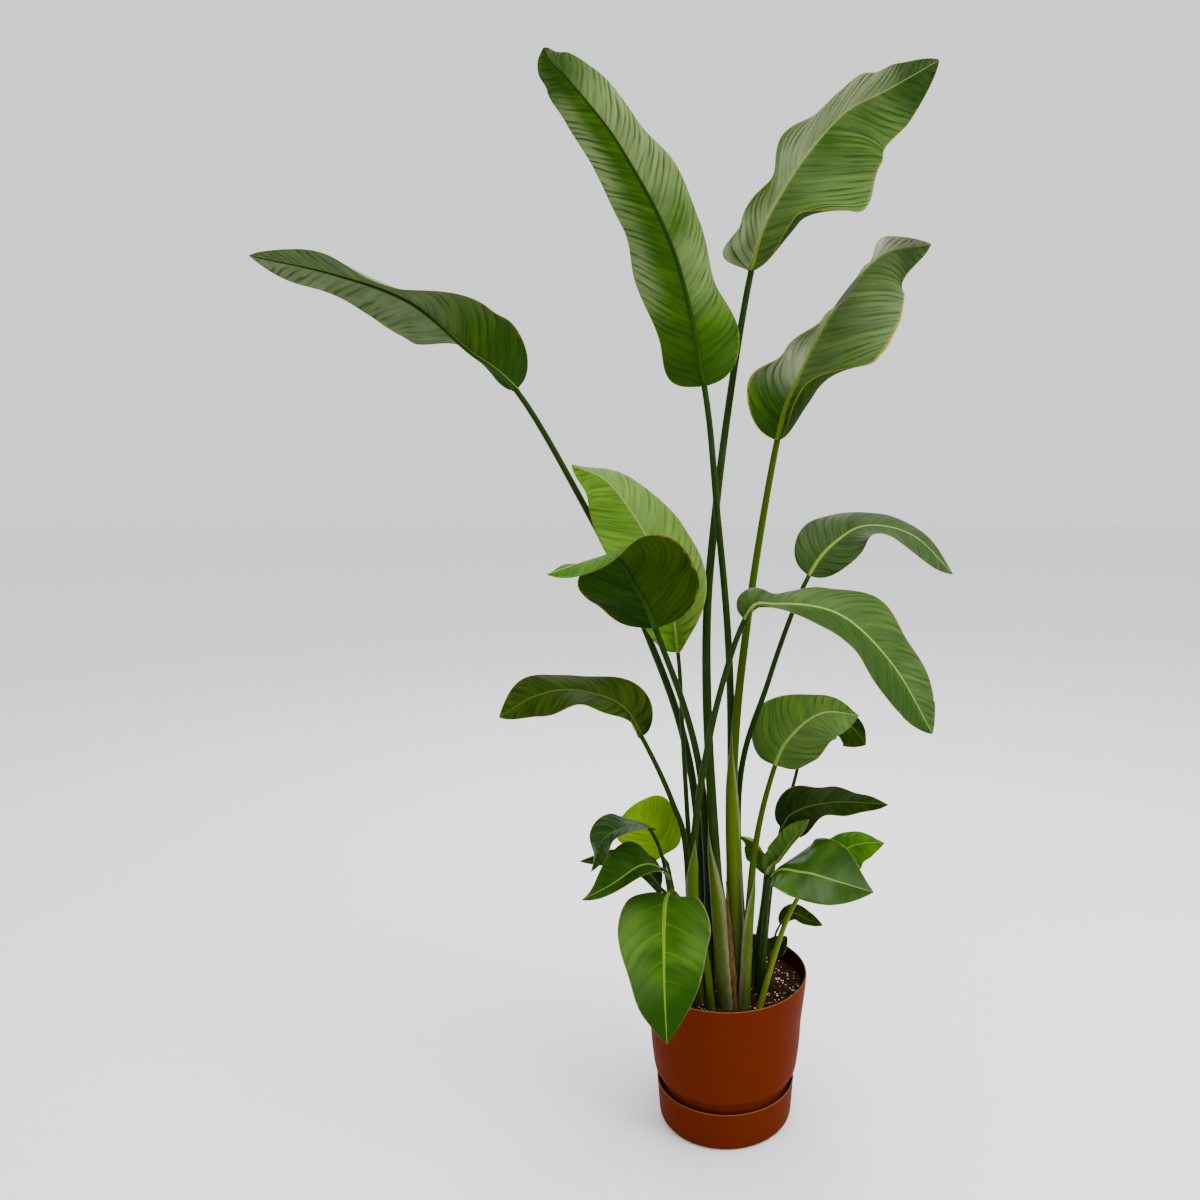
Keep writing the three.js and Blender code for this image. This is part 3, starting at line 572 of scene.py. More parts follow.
class Skin(Enum):
    """Finishes of the blades' sides, of their midribs, and of the stalks."""

    UPPER = BladeFinish("blade_upper", (0.030, 0.078, 0.0), (0.010, 0.038, 0.0), (0.16, 0.27, 0.01))
    FAR_UNDER = BladeFinish(
        "blade_under_far", (0.030, 0.075, 0.0), (0.009, 0.033, 0.0), (0.004, 0.016, 0.0),
        vein=(0.09, 0.13, 0.03), sheen=(0.14, 0.17, 0.09), sheen_left=0.3, sheen_foot=0.3,
        sheen_right=0.7, base_shade=0.8, roughness=0.6, specular=0.06, groove=0.0, rib_width=0.6,
        pleat_pitch=17.0, pleat_depth=0.8, vein_pitch=17.0, vein_weight=0.5, vein_sharp=0.95)
    ARCH_UPPER = BladeFinish(
        "blade_upper_arch", (0.034, 0.088, 0.0), (0.009, 0.036, 0.0), (0.22, 0.33, 0.08),
        sheen=(0.09, 0.14, 0.05), sheen_left=0.3, sheen_right=0.0, shade_right=0.6, base_shade=0.5,
        specular=0.1, pleat_depth=0.8)
    # Grey look from painted sheen over most of the left half, and painted shade over the folded tip.
    GREY_UPPER = BladeFinish(
        "blade_upper_sheen", (0.062, 0.145, 0.0), (0.014, 0.055, 0.0), (0.26, 0.33, 0.08),
        sheen=(0.29, 0.33, 0.19), sheen_left=0.85, sheen_right=0.18, tip_shade=0.85, tip_from=0.76,
        tip_to=0.9, pleat_depth=1.0, relief=1.8)
    MID_UPPER = BladeFinish(
        "blade_upper_mid", (0.052, 0.125, 0.0), (0.018, 0.065, 0.0), (0.2, 0.3, 0.05),
        sheen=(0.12, 0.165, 0.055), sheen_left=0.2, sheen_right=0.25, pleat_depth=0.8)
    DULL_UPPER = BladeFinish(
        "blade_upper_dull", (0.022, 0.058, 0.0), (0.007, 0.028, 0.0), (0.14, 0.24, 0.01),
        sheen=(0.10, 0.14, 0.05), sheen_left=0.1, sheen_right=0.1)
    LUSH_UPPER = BladeFinish(
        "blade_upper_lush", (0.05, 0.145, 0.0), (0.018, 0.08, 0.0), (0.2, 0.33, 0.02),
        vein=(0.09, 0.19, 0.0), sheen_left=0.0, sheen_right=0.0, pleat_depth=0.5, specular=0.02)
    # The dry yellow margin is real wear; the grey over the left half is painted sheen, and the tip and foot
    # carry painted shade.
    WORN_UPPER = BladeFinish(
        "blade_upper_worn", (0.05, 0.13, 0.0), (0.010, 0.042, 0.0), (0.14, 0.22, 0.01),
        margin=(0.34, 0.26, 0.02), sheen=(0.38, 0.40, 0.27), sheen_left=1.0, sheen_right=0.15,
        sheen_foot=0.22, tip_shade=0.6, base_shade=0.5, dryness=0.25, pleat_depth=0.8, relief=1.5)
    UNDER = BladeFinish(
        "blade_under", (0.042, 0.11, 0.0), (0.014, 0.05, 0.0), (0.004, 0.02, 0.0),
        vein=(0.015, 0.05, 0.0), sheen=(0.25, 0.30, 0.14), sheen_left=0.45, sheen_right=0.5,
        sheen_foot=0.25, sheen_from=0.55, tip_shade=0.8, base_shade=0.75, roughness=0.6, specular=0.06,
        groove=0.0, rib_width=0.6, pleat_pitch=12.0, pleat_depth=0.9)
    # Bright green: partly the blade's own light tone, partly painted light shining through it.
    BRIGHT_UPPER = BladeFinish(
        "blade_upper_bright", (0.09, 0.20, 0.0), (0.035, 0.11, 0.0), (0.3, 0.4, 0.12),
        vein=(0.15, 0.26, 0.01), sheen=(0.17, 0.24, 0.07), sheen_left=0.05, sheen_right=0.4)
    HEART_UPPER = BladeFinish(
        "heart_upper", (0.040, 0.118, 0.0), (0.009, 0.046, 0.0), (0.19, 0.32, 0.02),
        vein=(0.11, 0.21, 0.01), margin=(0.3, 0.27, 0.1), sheen_left=0.2, sheen_right=0.25,
        tip_shade=0.9, tip_from=0.4, tip_to=0.8, base_shade=0.6, roughness=0.4, specular=0.02,
        relief=0.7, crease_pitch=20.0, pleat_pitch=24.0, pleat_depth=0.3, vein_pitch=46.0,
        vein_weight=0.7, vein_sharp=0.992)
    # Its light vein colour paints glints along the creases: painted highlights.
    DARK_HEART = BladeFinish(
        "heart_upper_dark", (0.010, 0.050, 0.0), (0.001, 0.012, 0.0), (0.05, 0.10, 0.01),
        vein=(0.10, 0.15, 0.06), sheen_left=0.0, sheen_right=0.1, roughness=0.3, specular=0.03,
        relief=2.2, crease_pitch=8.0, pleat_pitch=16.0, pleat_depth=0.7, vein_pitch=16.0,
        vein_weight=0.5, vein_sharp=0.96, coat=0.08)
    LEAFY_HEART = BladeFinish(
        "heart_upper_green", (0.030, 0.09, 0.0), (0.010, 0.045, 0.0), (0.2, 0.3, 0.05),
        vein=(0.06, 0.13, 0.004), margin=(0.3, 0.27, 0.1), sheen_left=0.0, sheen_right=0.05,
        tip_shade=0.4, tip_from=0.5, tip_to=0.8, roughness=0.38, specular=0.05, relief=0.6,
        crease_pitch=15.0, pleat_pitch=20.0, pleat_depth=0.25, vein_pitch=30.0, vein_weight=0.5,
        vein_sharp=0.99, coat=0.25)
    # Lime green: partly the blade's own light tone, partly painted light shining through it.
    LIME_HEART = BladeFinish(
        "heart_upper_lime", (0.20, 0.36, 0.0), (0.10, 0.22, 0.0), (0.26, 0.4, 0.02),
        vein=(0.2, 0.34, 0.0), sheen_left=0.0, sheen_right=0.0, relief=0.7, crease_pitch=9.0,
        pleat_pitch=11.0, pleat_depth=0.7, vein_pitch=11.0, vein_weight=0.6, specular=0.04)
    # A darker copy of the upper side for leaves deep in the clump's shade: painted shade.
    SHADE_UPPER = BladeFinish(
        "blade_upper_in_shade", (0.012, 0.034, 0.0), (0.003, 0.012, 0.0), (0.07, 0.11, 0.004),
        vein=(0.02, 0.05, 0.0), sheen=(0.04, 0.06, 0.01), sheen_left=0.15, sheen_right=0.05,
        roughness=0.6, specular=0.02)
    SHADED_UPPER = BladeFinish(
        "blade_upper_shaded", (0.024, 0.052, 0.0), (0.006, 0.020, 0.0), (0.09, 0.13, 0.01),
        vein=(0.03, 0.06, 0.0), sheen=(0.07, 0.09, 0.02), sheen_left=0.2, sheen_right=0.2, roughness=0.6,
        specular=0.04)
    OLIVE_UPPER = BladeFinish(
        "heart_upper_olive", (0.014, 0.050, 0.0), (0.005, 0.024, 0.0), (0.14, 0.2, 0.02),
        vein=(0.06, 0.11, 0.0), relief=0.8, crease_pitch=12.0, pleat_depth=0.4, vein_pitch=24.0,
        vein_weight=0.4, vein_sharp=0.98, sheen_left=0.05, sheen_right=0.05, specular=0.02)
    DRIED_UNDER = BladeFinish(
        "blade_under_dried", (0.013, 0.040, 0.0), (0.004, 0.019, 0.0), (0.03, 0.06, 0.001),
        vein=(0.016, 0.04, 0.0), margin=(0.20, 0.15, 0.02), sheen=(0.032, 0.066, 0.0), sheen_left=0.45,
        sheen_right=0.0, roughness=0.65, specular=0.03, groove=0.0, rib_width=0.6, pleat_depth=0.6,
        pleat_pitch=9.0, dryness=0.14)
    # A darker copy of the under side for blades and flaps that stand in shade: painted shade.
    SHADE_UNDER = BladeFinish(
        "blade_under_in_shade", (0.014, 0.036, 0.0), (0.004, 0.016, 0.0), (0.03, 0.06, 0.001),
        vein=(0.016, 0.04, 0.0), sheen_left=0.0, sheen_right=0.05, roughness=0.65, specular=0.03,
        groove=0.0, rib_width=0.6, pleat_depth=0.3)
    RIB = StalkFinish("midrib_under", (0.014, 0.045, 0.0), (0.006, 0.024, 0.0))
    TOP_RIB = StalkFinish("midrib_upper", (0.17, 0.25, 0.03), (0.23, 0.31, 0.08))
    GREEN_RIB = StalkFinish("midrib_upper_green", (0.11, 0.18, 0.01), (0.15, 0.24, 0.02))
    DARK_RIB = StalkFinish("midrib_upper_dark", (0.05, 0.08, 0.004), (0.06, 0.10, 0.004))
    STALK = StalkFinish(
        "stalk_green", (0.06, 0.085, 0.025), (0.010, 0.029, 0.0),
        fade_from=0.04, fade_to=0.26)
    LIGHT_STALK = StalkFinish(
        "stalk_olive", (0.07, 0.09, 0.02), (0.032, 0.062, 0.0),
        fade_from=0.04, fade_to=0.3)
    LIME_STALK = StalkFinish(
        "stalk_lime", (0.12, 0.15, 0.01), (0.09, 0.13, 0.005),
        fade_from=0.04, fade_to=0.5)
    SHEATH = StalkFinish(
        "sheath_green", (0.046, 0.058, 0.015), (0.058, 0.10, 0.0),
        edge=(0.24, 0.23, 0.13), streaks=2.2, fade_to=0.8)

    def material(self) -> bpy.types.Material:
        """The finish's own material."""
        return self.value.material()


@cache
def dressed(finish: Finish) -> bpy.types.Material:
    """The one material of a finish, made when it is first asked for."""
    return finish.material()


def placed(name: str, data: bpy.types.ID) -> bpy.types.Object:
    """A new object of the scene that holds a mesh, a light or a camera."""
    made = bpy.data.objects.new(name, data)
    bpy.context.collection.objects.link(made)
    return made


def solid(name: str, mesh: bmesh.types.BMesh, finishes: Sequence[Finish]) -> bpy.types.Object:
    """A new object with the shape of a bmesh, which is freed here, and its finishes in order."""
    data = bpy.data.meshes.new(name)
    mesh.to_mesh(data)
    mesh.free()
    for finish in finishes:
        data.materials.append(dressed(finish))
    return placed(name, data)


def add_piece(name: str, mesh: bmesh.types.BMesh, finishes: Sequence[Finish],
              nodes: Sequence[str] = (), smooth: bool = True) -> None:
    """Turn a finished bmesh into a piece that rides on the plant's one body.

    Args:
        name: the piece's name.
        mesh: its shape, freed here.
        finishes: its finishes, in the order of its faces' material numbers.
        nodes: the plain solids that it takes the place of.
        smooth: whether its faces are shaded smooth.
    """
    for face in mesh.faces:
        face.smooth = smooth
    piece = solid(name, mesh, finishes)
    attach(piece, BODY)
    if nodes:
        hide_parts(*nodes)
    LOG.info("%s: %d faces", name, len(piece.data.polygons))


def chart_faces(mesh: bmesh.types.BMesh, places: dict[bmesh.types.BMVert, tuple[float, float]]) -> None:
    """Write each point's place into the leaf chart of every face."""
    chart = mesh.loops.layers.uv[LEAF_CHART]
    for face in mesh.faces:
        for loop in face.loops:
            loop[chart].uv = places[loop.vert]


# Routes.


@dataclass(frozen=True)
class Stop:
    """A place on a route and the direction of the way there."""

    point: Vector
    ahead: Vector

    def square(self, direction: Vector) -> Vector:
        """The direction nearest to a given one that is square to the way ahead."""
        return (direction - self.ahead * direction.dot(self.ahead)).normalized()


class Route:
    """A smooth line through points, read by its share of length."""

    steps = 384
    stops_kept = 96

    def __init__(self, points: Sequence[Triple], start: int, end: int) -> None:
        """Lay the line and space its stops evenly.

        Args:
            points: what the whole line runs through, in millimetres.
            start: number of the point where this stretch begins.
            end: number of the point where it ends.
        """
        self.points = [Vector(p) * MM for p in points]
        places = [start + (end - start) * k / self.steps for k in range(self.steps + 1)]
        fine = [self._spot(place)[0] for place in places]
        run = [0.0]
        for first, second in zip(fine, fine[1:]):
            run.append(run[-1] + (second - first).length)
        self.length = run[-1]
        self.stops: list[Stop] = []
        k = 0
        for i in range(self.stops_kept + 1):
            want = self.length * i / self.stops_kept
            while k < self.steps - 1 and run[k + 1] < want:
                k += 1
            share = (want - run[k]) / (run[k + 1] - run[k])
            spot, ahead = self._spot(clamp(places[k] + share * (places[k + 1] - places[k]), start, end))
            self.stops.append(Stop(spot, ahead.normalized()))

    def _spot(self, place: float) -> tuple[Vector, Vector]:
        """Point and derivative at a place counted in the line's points."""
        points = self.points
        i = min(int(place), len(points) - 2)
        w = place - i
        before = points[i - 1] if i > 0 else points[0] * 2 - points[1]
        after = points[i + 2] if i + 2 < len(points) else points[-1] * 2 - points[-2]
        a, b = points[i], points[i + 1]
        go, come = (b - before) * 0.5, (after - a) * 0.5
        cubic, quadratic = (a - b) * 2 + go + come, (b - a) * 3 - go * 2 - come
        spot = ((cubic * w + quadratic) * w + go) * w + a
        return spot, (cubic * (3 * w) + quadratic * 2) * w + go

    def at(self, t: float) -> Stop:
        """The stop at a share of the route's length."""
        place = clamp(t) * self.stops_kept
        i = min(int(place), self.stops_kept - 1)
        first, second = self.stops[i], self.stops[i + 1]
        share = place - i
        ahead = first.ahead.lerp(second.ahead, share).normalized()
        return Stop(first.point.lerp(second.point, share), ahead)


def tube(mesh: bmesh.types.BMesh, stops: Sequence[Stop], radius: Callable[[float, float], float],
         sides: int, first_side: Vector, material: int = 0) -> None:
    """Add a closed round tube with a ring at each stop, its chart running round and along it.

    Args:
        mesh: the bmesh that takes it, with the leaf chart on its loops.
        stops: the rings' places, from foot to end.
        radius: radius in metres at a share of the length and a turn in radians.
        sides: points in each ring.
        first_side: direction of the first point of the first ring.
        material: material number of its faces.
    """
    chart = mesh.loops.layers.uv[LEAF_CHART]
    ring = bmesh.ops.create_circle(mesh, cap_ends=True, segments=sides, radius=1.0)["verts"]
    foot = ring[0].link_faces[0]
    edges = list(foot.edges)
    side = first_side.copy()
    rings: list[list[bmesh.types.BMVert]] = [ring]
    for _ in stops[1:]:
        grown = bmesh.ops.extrude_edge_only(mesh, edges=edges)["geom"]
        fresh = {v for v in grown if isinstance(v, bmesh.types.BMVert)}
        edges = [e for e in grown if isinstance(e, bmesh.types.BMEdge) and all(v in fresh for v in e.verts)]
        ring = []
        for vert in rings[-1]:
            others = (edge.other_vert(vert) for edge in vert.link_edges)
            ring.append(next(other for other in others if other in fresh))
        rings.append(ring)
    faces = {foot}
    for step, (stop, points) in enumerate(zip(stops, rings)):
        t = step / (len(stops) - 1)
        side = stop.square(side)
        other = stop.ahead.cross(side)
        for k, vert in enumerate(points):
            turn = math.tau * k / sides
            size = radius(t, turn)
            vert.co = stop.point + side * (size * math.cos(turn)) + other * (size * math.sin(turn))
            faces.update(vert.link_faces)
    faces.update(bmesh.ops.contextual_create(mesh, geom=edges)["faces"])
    places = {}
    for step, points in enumerate(rings):
        for k, vert in enumerate(points):
            places[vert] = (k / sides, step / (len(stops) - 1))
    last = (sides - 1) / sides
    for face in faces:
        face.material_index = material
        turns = {places[vert][0] for vert in face.verts}
        closing = len(face.verts) == 4 and turns >= {0.0, last}
        for loop in face.loops:
            u, v = places[loop.vert]
            loop[chart].uv = (1.0 if closing and u == 0 else u, v)
    bmesh.ops.recalc_face_normals(mesh, faces=list(faces))


# Leaves.


@dataclass(frozen=True)
class OutlineShape:
    """Width of a blade along its length, as shares of its full half width."""

    widest: float
    base_fill: float
    base_round: float
    tip_fill: float
    tip_round: float
    lobe: float

    def share(self, t: float) -> float:
        """Share of the full half width at t."""
        if t < self.widest:
            return (1 - (1 - t / self.widest) ** self.base_fill) ** self.base_round
        forward = clamp((t - self.widest) / (1 - self.widest))
        return (1 - forward ** self.tip_fill) ** self.tip_round


class Outline(Enum):
    """Families of blade outlines."""

    PADDLE = OutlineShape(0.42, 2.2, 0.5, 2.2, 0.8, 0.3)
    BROAD = OutlineShape(0.42, 3.5, 0.5, 2.2, 0.8, 0.3)
    LOBED = OutlineShape(0.42, 3.5, 0.5, 2.2, 0.8, 0.6)
    HOODED = OutlineShape(0.42, 6, 0.5, 3, 0.65, 0.3)
    HEART = OutlineShape(0.3, 2, 0.5, 1.9, 0.95, 0.45)
    OVAL = OutlineShape(0.42, 2, 0.5, 1.9, 0.9, 0.1)


class Fineness(Enum):
    """Rows along a blade and columns on each of its halves."""

    LARGE = (110, 18)
    MEDIUM = (64, 13)
    SMALL = (40, 9)


@dataclass(frozen=True)
class Half:
    """One half of a blade, from foot to tip: widths, lift from the midrib's plane, curl to the edge."""

    widths: tuple[float, ...]
    lift: tuple[float, ...]
    curl: tuple[float, ...] = (0, 0)


@dataclass(frozen=True)
class Tear:
    """A split from a blade's edge: its side, place, depth as a share of the half, and width."""

    side: int
    at: float
    depth: float
    width: float


@dataclass(frozen=True)
class Ripple:
    """Waves along a blade's edge: their height, their number and where they start, in radians."""

    height: float
    count: float
    start: float


@dataclass(frozen=True)
class Wrap:
    """An open sheath round a stalk.

    Its length is a stretch past the stalk's swollen share, its thickness is in millimetres, and
    its turn is where it stands open, in degrees from the front.
    """

    swollen: float
    stretch: float
    thickness: float
    turn: float

    rows = 60
    columns = 16
    half_turn = 150.0
    narrow_from = 0.55
    narrow_power = 1.6
    narrowest = 0.02
    foot_flare = 0.2
    gap = 0.2 * MM
    wall = 0.6 * MM

    def opening(self, b: float) -> float:
        """Share of the full half turn that the sheath reaches at a share of its length."""
        past = max(0.0, (b - self.narrow_from) / (1 - self.narrow_from))
        return max(clamp(1 - past ** self.narrow_power), self.narrowest)


class Part(IntEnum):
    """Material numbers of a blade's faces."""

    UPPER = 0
    UNDER = 1
    RIB = 2
    RIB_TOP = 3


@dataclass(frozen=True)
class Leaf:
    """One leaf: a stalk from the soil to the neck, and a blade round its midrib.

    Its stoutness is the stalk's radius at the foot and at the neck. The face is the way that the
    blade's upper side looks, from its foot to its tip.
    """

    name: str
    outline: Outline
    fineness: Fineness
    stout: tuple[float, float]
    ripple: Ripple
    root: tuple[float, float]
    stalk: tuple[Triple, ...]
    rib: tuple[Triple, ...]
    face: tuple[Triple, ...]
    left: Half
    right: Half
    upper: Skin = Skin.UPPER
    under: Skin = Skin.UNDER
    under_rib: Skin = Skin.RIB
    upper_rib: Skin = Skin.TOP_RIB
    stalk_skin: Skin = Skin.STALK
    wrap: Optional[Wrap] = None
    tears: tuple[Tear, ...] = ()

    foot_z = 195.0
    blade_thickness = 0.7 * MM
    neck_gap = 0.9 * MM
    wave_lag = 0.12
    wave_offset = 0.9
    row_crowding = 0.72
    rib_thin_from = 0.9
    rib_thin_by = 0.75
    edge_margin = 3.0
    edge_margin_over = 0.1
    vein_lean = 0.45
    vein_bend = 0.2
    heart_vein_lean = 0.2
    heart_vein_bend = 0.6
    tear_fall = 25
    rib_rings = 36
    rib_sides = 12
    rib_end = 0.985
    rib_sink = 0.7
    rib_sink_over = 0.06
    rib_top_from = 0.2
    stalk_rings = 40
    stalk_facets = 14
    stalk_taper = 0.8
    channel_depth = 0.1
    channel_power = 6

    def routes(self) -> tuple[Route, Route]:
        """The stalk's route and the midrib's route."""
        points = ((*self.root, self.foot_z), *self.stalk, *self.rib)
        neck = len(self.stalk)
        return Route(points, 0, neck), Route(points, neck, len(points) - 1)

    def rib_radius(self, t: float) -> float:
        """Radius of the midrib at a share of the blade's length, in metres."""
        return self.stout[1] * (self.rib_thin_from - self.rib_thin_by * t) * MM

    def half_width(self, t: float, side: int) -> float:
        """Width of one half at a share of the blade's length, in metres."""
        half = self.left if side < 0 else self.right
        least = self.rib_radius(t) + self.edge_margin * MM * clamp((1 - t) / self.edge_margin_over)
        return max(along(half.widths, t) * MM * self.outline.value.share(t), least)

    def spot(self, route: Route, t: float, side: int, distance: float) -> Vector:
        """Point on the blade's middle surface.

        Args:
            route: the midrib's route.
            t: share of the blade's length.
            side: -1 for the left half and 1 for the right, seen from the upper side.
            distance: way out from the midrib, in metres.

        Returns:
            The point, in metres.
        """
        stop = route.at(t)
        up = stop.square(along(self.face, t))
        across = stop.ahead.cross(up) * side
        half = self.left if side < 0 else self.right
        width = self.half_width(t, side)
        s = distance / width
        lift = math.radians(along(half.lift, t))
        curl = math.radians(along(half.curl, t))
        angle = lift + curl * s
        if abs(curl) > CLOSE:
            reach = (math.sin(angle) - math.sin(lift)) / curl
            rise = (math.cos(lift) - math.cos(angle)) / curl
        else:
            reach, rise = s * math.cos(lift), s * math.sin(lift)
        swell = math.sqrt(math.sin(math.pi * clamp(t, 0.02, 0.98)))
        turn = math.tau * self.ripple.count * (t - self.wave_lag * s) + self.ripple.start
        if side > 0:
            turn += self.wave_offset
        wave = self.ripple.height * MM * s * s * swell * math.sin(turn)
        base_width = half.widths[0] * MM
        back = max(0.0, 1 - t / self.outline.value.widest) ** 2
        lobe = self.outline.value.lobe * base_width * (distance / base_width) ** 2 * back
        forward = self.neck_gap - lobe
        return stop.point + across * (width * reach) + up * (width * rise + wave) + stop.ahead * forward

    def blade(self) -> bmesh.types.BMesh:
        """The blade and its midrib."""
        _, route = self.routes()
        rows, columns = self.fineness.value
        mesh = bmesh.new()
        chart = mesh.loops.layers.uv.new(LEAF_CHART)
        vein = mesh.loops.layers.uv.new(VEIN_CHART)
        bmesh.ops.create_grid(mesh, x_segments=2 * columns, y_segments=rows, size=1.0)
        share = mesh.verts.layers.float_vector.new("share")
        for tear in self.tears:
            self._split(mesh, tear)
        for vert in mesh.verts:
            t, nudge = self._row_place(vert, route)
            side = -1 if vert.co.x < 0 else 1
            s = abs(vert.co.x)
            distance = s * self.half_width(t, side)
            vert[share] = (0.5 + 0.5 * side * s, t, distance)
            vert.co = self.spot(route, clamp(t + nudge), side, distance)
        upper = set(mesh.faces)
        for face in upper:
            face.normal_update()
        bmesh.ops.solidify(mesh, geom=list(mesh.faces), thickness=self.blade_thickness)
        for face in mesh.faces:
            face.material_index = Part.UPPER if face in upper else Part.UNDER
            for loop in face.loops:
                across, t, distance = loop.vert[share]
                loop[chart].uv = (across, t)
                rib_share = clamp(distance / (RIB_REACH * self.rib_radius(t)))
                loop[vein].uv = (rib_share, self._vein_run(route, t, distance))
        mesh.verts.layers.float_vector.remove(share)
        self._midrib(mesh, route)
        return mesh

    def _row_place(self, vert: bmesh.types.BMVert, route: Route) -> tuple[float, float]:
        """Share of the blade's length at a grid point, and how far a tear pushes it along."""
        t = clamp(self._crowded((vert.co.y + 1) / 2))
        nudge = 0.0
        for tear in self.tears:
            beyond = (vert.co.x * tear.side - (1 - tear.depth)) / tear.depth
            if beyond <= 0:
                continue
            off = vert.co.y - self._row_of(tear)
            middle = sum(face.calc_center_median().y for face in vert.link_faces) / len(vert.link_faces)
            way = math.copysign(1.0, off if abs(off) > CLOSE else middle - self._row_of(tear))
            fall = math.exp(-abs(off) * self.tear_fall)
            nudge += way * fall * beyond * tear.width * MM / 2 / route.length
        return t, nudge

    def _row_of(self, tear: Tear) -> float:
        """Height in the unplaced grid of the row that a tear runs along."""
        rows = self.fineness.value[0]
        best = min(range(rows + 1), key=lambda i: abs(self._crowded(i / rows) - tear.at))
        return best / rows * 2 - 1

    def _crowded(self, b: float) -> float:
        """Share of the blade's length at a share of its rows, which crowd at both ends."""
        return b - self.row_crowding * math.sin(math.tau * b) / math.tau

    def _split(self, mesh: bmesh.types.BMesh, tear: Tear) -> None:
        """Part the unplaced grid along the row of a tear."""
        row = self._row_of(tear)
        inner = 1 - tear.depth - CLOSE
        torn = {v for v in mesh.verts if abs(v.co.y - row) < CLOSE and v.co.x * tear.side > inner}
        cut = [edge for edge in mesh.edges if all(v in torn for v in edge.verts)]
        bmesh.ops.split_edges(mesh, edges=cut)

    def _vein_run(self, route: Route, t: float, distance: float) -> float:
        """Place along the midrib where the side vein through a point leaves it, in metres."""
        spread = max(self.left.widths[1], self.right.widths[1]) * MM
        lean, bend = self.vein_lean * (1 + t), self.vein_bend
        if self.outline is Outline.HEART:
            lean, bend = self.heart_vein_lean, self.heart_vein_bend
        return t * route.length - lean * distance - bend * distance * distance / spread

    def _midrib(self, mesh: bmesh.types.BMesh, route: Route) -> None:
        """Add the round midrib that stands out of the blade's under side."""
        stops = []
        for i in range(self.rib_rings + 1):
            t = i / self.rib_rings * self.rib_end
            stop = route.at(t)
            sink = self.rib_radius(t) * self.rib_sink * ease(t / self.rib_sink_over)
            stops.append(Stop(stop.point - stop.square(along(self.face, t)) * sink, stop.ahead))
        tube(mesh, stops, lambda t, _: self.rib_radius(t * self.rib_end), self.rib_sides,
             Vector((1, 0, 0)), Part.RIB)
        chart = mesh.loops.layers.uv[LEAF_CHART]
        for face in mesh.faces:
            if face.material_index == Part.RIB:
                facing = along(self.face, face.loops[0][chart].uv.y).normalized()
                face.normal_update()
                if face.normal.dot(facing) > self.rib_top_from:
                    face.material_index = Part.RIB_TOP

    def stalk_radius(self, t: float) -> float:
        """Radius of the stalk at a share of its length, in metres."""
        foot, neck = self.stout
        return (foot + (neck - foot) * t ** self.stalk_taper) * MM

    def stalk_tube(self) -> bmesh.types.BMesh:
        """The stalk, from its buried foot to the neck, with a shallow channel on its upper side."""
        route, _ = self.routes()
        mesh = bmesh.new()
        mesh.loops.layers.uv.new(LEAF_CHART)

        def radius(t: float, turn: float) -> float:
            """Radius with the channel sunk in."""
            channel = self.channel_depth * max(0.0, math.cos(turn)) ** self.channel_power
            return self.stalk_radius(t) * (1 - channel)

        stops = [route.at(i / self.stalk_rings) for i in range(self.stalk_rings + 1)]
        tube(mesh, stops, radius, self.stalk_facets, Vector(self.face[0]))
        return mesh

    def sheath(self, wrap: Wrap) -> bmesh.types.BMesh:
        """The pale open sheath that clasps the stalk's lower part and ends in a point."""
        route, _ = self.routes()
        mesh = bmesh.new()
        mesh.loops.layers.uv.new(LEAF_CHART)
        bmesh.ops.create_grid(mesh, x_segments=wrap.columns, y_segments=wrap.rows, size=1.0)
        heading = math.radians(wrap.turn)
        mouth = Vector((math.sin(heading), -math.cos(heading), 0))
        reach = wrap.swollen * wrap.stretch
        places = {}
        for vert in mesh.verts:
            b = (vert.co.y + 1) / 2
            places[vert] = ((vert.co.x + 1) / 2, b)
            stop = route.at(b * reach)
            front = stop.square(mouth)
            turn = vert.co.x * math.radians(wrap.half_turn) * wrap.opening(b)
            swell = wrap.thickness * MM * ease((1 - b) / wrap.foot_flare)
            size = self.stalk_radius(b * reach) + wrap.gap + swell
            other = stop.ahead.cross(front)
            vert.co = stop.point + front * (size * math.cos(turn)) + other * (size * math.sin(turn))
        chart_faces(mesh, places)
        bmesh.ops.recalc_face_normals(mesh, faces=mesh.faces)
        first = next(iter(mesh.faces))
        if first.normal.dot(first.calc_center_median() - route.at(0).point) < 0:
            bmesh.ops.reverse_faces(mesh, faces=mesh.faces)
        bmesh.ops.solidify(mesh, geom=list(mesh.faces), thickness=wrap.wall)
        return mesh

    def build(self) -> None:
        """Add the leaf's pieces."""
        sides = (self.upper, self.under, self.under_rib, self.upper_rib)
        add_piece(f"{self.name}_blade_skin", self.blade(), sides, [f"{self.name}_blade"])
        add_piece(f"{self.name}_stalk_skin", self.stalk_tube(), [self.stalk_skin],
                  [f"{self.name}_stalk"])
        if self.wrap:
            add_piece(f"{self.name}_sheath", self.sheath(self.wrap), [Skin.SHEATH])


